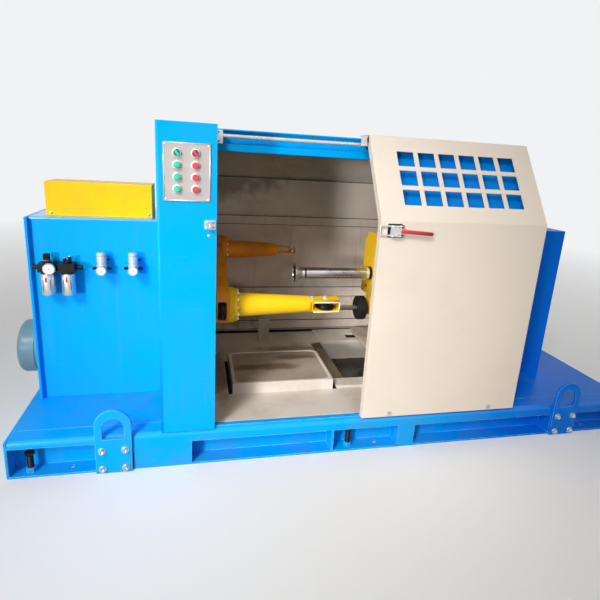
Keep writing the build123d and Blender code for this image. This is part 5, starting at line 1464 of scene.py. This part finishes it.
def makeAirUnits(values):
    black, bowls, dials, marks, caps, red = (bmesh.new() for _ in range(6))
    front, back = values["bodyFront"], values["bodyBack"]
    bodyY = (front + back) / 2
    half, low, high = values["bodyWidth"] / 2, values["bodyLow"], values["bodyHigh"]
    middle = (low + high) / 2
    bowl, deep = values["bowl"], values["bowlHeight"]
    for x in (values["first"], values["second"]):
        addBox(black, (x - half, front, low + 0.006), (x + half, back, high - 0.004), 0, 0.006)
        addLathe(black, [(0, 0.0235), (0.002, 0.0248), (0.010, 0.0248), (0.012, 0.0235)], (x, bodyY, low - 0.004),
                 (0, 0, 1), 0, 40)
        addLathe(bowls, [(0, 0), (0, bowl - 0.008), (0.002, bowl - 0.003), (0.007, bowl), (deep - 0.012, bowl),
                         (deep - 0.010, bowl - 0.0008), (deep - 0.009, bowl), (deep - 0.006, bowl),
                         (deep - 0.005, bowl - 0.001), (deep - 0.001, bowl - 0.002), (deep - 0.001, 0)],
                 (x, bodyY, low - deep), (0, 0, 1), 0, 48)
        # sight slots in the bowl's guard
        for turn in (-1, 1):
            angle = math.radians(-90 + turn * 30)
            spot = Vector((x + (bowl - 0.0003) * math.cos(angle), bodyY + (bowl - 0.0003) * math.sin(angle),
                           low - 0.070))
            addBox(marks, spot + Vector((-0.0012, -0.0008, 0)), spot + Vector((0.0012, 0.0008, 0.044)))
        addBox(red, (x - 0.0055, bodyY - bowl - 0.0004, low - 0.034), (x + 0.0025, bodyY - bowl + 0.003, low - 0.012),
               0, 0.001)
    addBox(black, (values["first"], bodyY - 0.013, middle - 0.013), (values["second"], values["cabinet"], middle + 0.013))
    portRadius, left, right = 0.009, values["portLeft"], values["portRight"]
    addLathe(black, [(0, 0.0065), (0.002, portRadius), (0.012, portRadius), (0.013, 0.0075), (0.016, 0.0075),
                     (0.017, portRadius), (right - left - 0.020, portRadius), (right - left - 0.018, 0.0075),
                     (right - left - 0.014, 0.0075), (right - left - 0.012, portRadius),
                     (right - left - 0.002, portRadius), (right - left, 0.0065)], (left, bodyY, middle),
             (1, 0, 0), 0, 24)
    # the knob with fine grips and its red ring, and the lubricator's fittings
    knob, grips, top = [], 30, values["knobTop"]
    for step in range(grips * 2):
        radius = values["knob"] - (0 if step % 2 else 0.0008)
        knob.append((radius * math.cos(math.tau * step / grips / 2), radius * math.sin(math.tau * step / grips / 2)))
    addLathe(black, [(0, 0.0175), (0.004, 0.0175), (0.007, 0.0120), (0.012, 0.0120)],
             (values["first"], bodyY, high - 0.006), (0, 0, 1), 0, 36)
    addOutline(black, knob, (values["first"], bodyY, high + 0.008), (1, 0, 0), (0, 1, 0), top - 0.0085)
    addLathe(black, [(0, 0.0122), (0.0005, 0.0112)], (values["first"], bodyY, high + top - 0.0005), (0, 0, 1), 0, 36)
    addLathe(red, [(0, 0.0128), (0.004, 0.0128)], (values["first"], bodyY, high + 0.004), (0, 0, 1), 0, 40)
    for shift, radius, height in ((-0.009, 0.0062, 0.020), (0.009, 0.0068, 0.025), (0.0, 0.0120, 0.010)):
        addLathe(black, [(0, radius), (height - 0.002, radius), (height, radius - 0.0015)],
                 (values["second"] + shift, bodyY, high - 0.005), (0, 0, 1), 0, 24)
    for shift, height in ((-0.009, 0.0150), (0.009, 0.0200)):
        addLathe(bowls, [(0, 0.0045), (0.0020, 0.0038)], (values["second"] + shift, bodyY, high + height), (0, 0, 1),
                 0, 20)
    addGauge((caps, dials, marks), (values["first"] + values["gaugeShift"], front + 0.0005, middle), values["gauge"],
             values["gaugeDepth"])
    y, bottom, reach = values["regulatorY"], values["regulatorLow"], values["portReach"]
    tall = values["regulatorHigh"] - bottom
    for x in values["regulators"]:
        addLathe(caps, [(0, 0), (0, 0.016), (0.003, 0.019), (0.030, 0.0198), (0.034, 0.0198), (0.036, 0.0180),
                        (0.038, 0.0172), (0.041, 0.0172), (0.043, 0.0190), (tall - 0.018, 0.0190),
                        (tall - 0.016, 0.0178), (tall - 0.014, 0.0178), (tall - 0.012, 0.0186),
                        (tall - 0.004, 0.0182), (tall - 0.001, 0.0165), (tall, 0.0140), (tall, 0)],
                 (x, y, bottom), (0, 0, 1), 0, 44)
        addBox(caps, (x - 0.009, y, bottom), (x + 0.009, values["cabinet"], bottom + 0.036), 0, 0.0015)
        addLathe(black, [(0, 0.0045), (0.002, 0.006), (0.010, 0.006), (0.011, 0.005), (0.013, 0.005),
                         (0.014, 0.006), (2 * reach - 0.014, 0.006), (2 * reach - 0.013, 0.005),
                         (2 * reach - 0.011, 0.005), (2 * reach - 0.010, 0.006), (2 * reach - 0.002, 0.006),
                         (2 * reach, 0.0045)], (x - reach, y, values["portHeight"]), (1, 0, 0), 0, 20)
        # the gauge, and the lock knob on the body's right
        addGauge((caps, dials, marks), (x, y - 0.0145, values["dialHeight"]), values["regulatorGauge"], 0.0130, 0.75)
        addLathe(black, [(0, 0.0040), (0.006, 0.0040), (0.007, 0.0055), (0.011, 0.0055), (0.012, 0.0045)],
                 (x + 0.0175, y, bottom + 0.056), (1, 0, 0), 0, 20)
    for bm, name, slotName, material, stoodFor in (
            (black, "airUnitBodies", "black_plastic", "blackPlastic", ("filter_regulator",)),
            (bowls, "airUnitBowls", "cast_aluminium", "castAluminium", ()),
            (caps, "airFittings", "cast_aluminium", "greyCasting", ("pressure_regulators",)),
            (dials, "gaugeDials", "button_plastic", "dialFace", ()),
            (marks, "gaugeMarks", "black_plastic", "blackPlastic", ()),
            (red, "airUnitMarks", "button_plastic", "redPlastic", ())):
        shadeByAngle(bm)
        makePiece(bm, name, "frame", [material], stoodFor)


makeAirUnits(airValues)
print("stage: air units")

# sheet screws: the guard, the cabinet's end plate and the tail cabinet
guardLow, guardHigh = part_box("belt_guard")
guardScrews = [((x, guardLow.y, guardLow.z + 0.012), (0, -1, 0)) for x in (guardLow.x + 0.018, guardHigh.x - 0.014)]
setFasteners("guardScrews", "frame", "brass", guardScrews, panHead)
sheetSpots = []
endLow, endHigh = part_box("cabinet_end_plate")
sheetSpots += [((endLow.x, y, z), (-1, 0, 0)) for y in (endLow.y + 0.012, endHigh.y - 0.012)
               for z in (0.20, 0.43, 0.66, 0.88)]
tailLow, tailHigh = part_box("tail_cabinet")
sheetSpots += [((tailHigh.x, y, z), (1, 0, 0)) for y in (tailLow.y + 0.015, tailHigh.y - 0.015)
               for z in (0.20, 0.53, 0.88)]
setFasteners("sheetScrews", "frame", "zincSteel", sheetSpots, panHead)
print("stage: sheet screws")

# what is still shown as it came gets its finish too
plainFinishes = {"blue_paint": "bluePaint", "cream_paint": "creamPaint", "yellow_paint": "yellowPaint",
                 "beige_paint": "beigePaint", "grey_paint": "greyPaint", "bright_steel": "zincSteel",
                 "black_steel": "darkSteel", "chrome": "chromed", "rubber": "blackRubber",
                 "black_plastic": "blackPlastic", "cast_aluminium": "castAluminium",
                 "button_plastic": "dialFace"}
for row in frame["record"]["subparts"]:
    shown = nodes[row["node"]]
    if not shown.hide_render:
        shown.data.materials.clear()
        shown.data.materials.append(finish[plainFinishes[row["material_slot"]]])
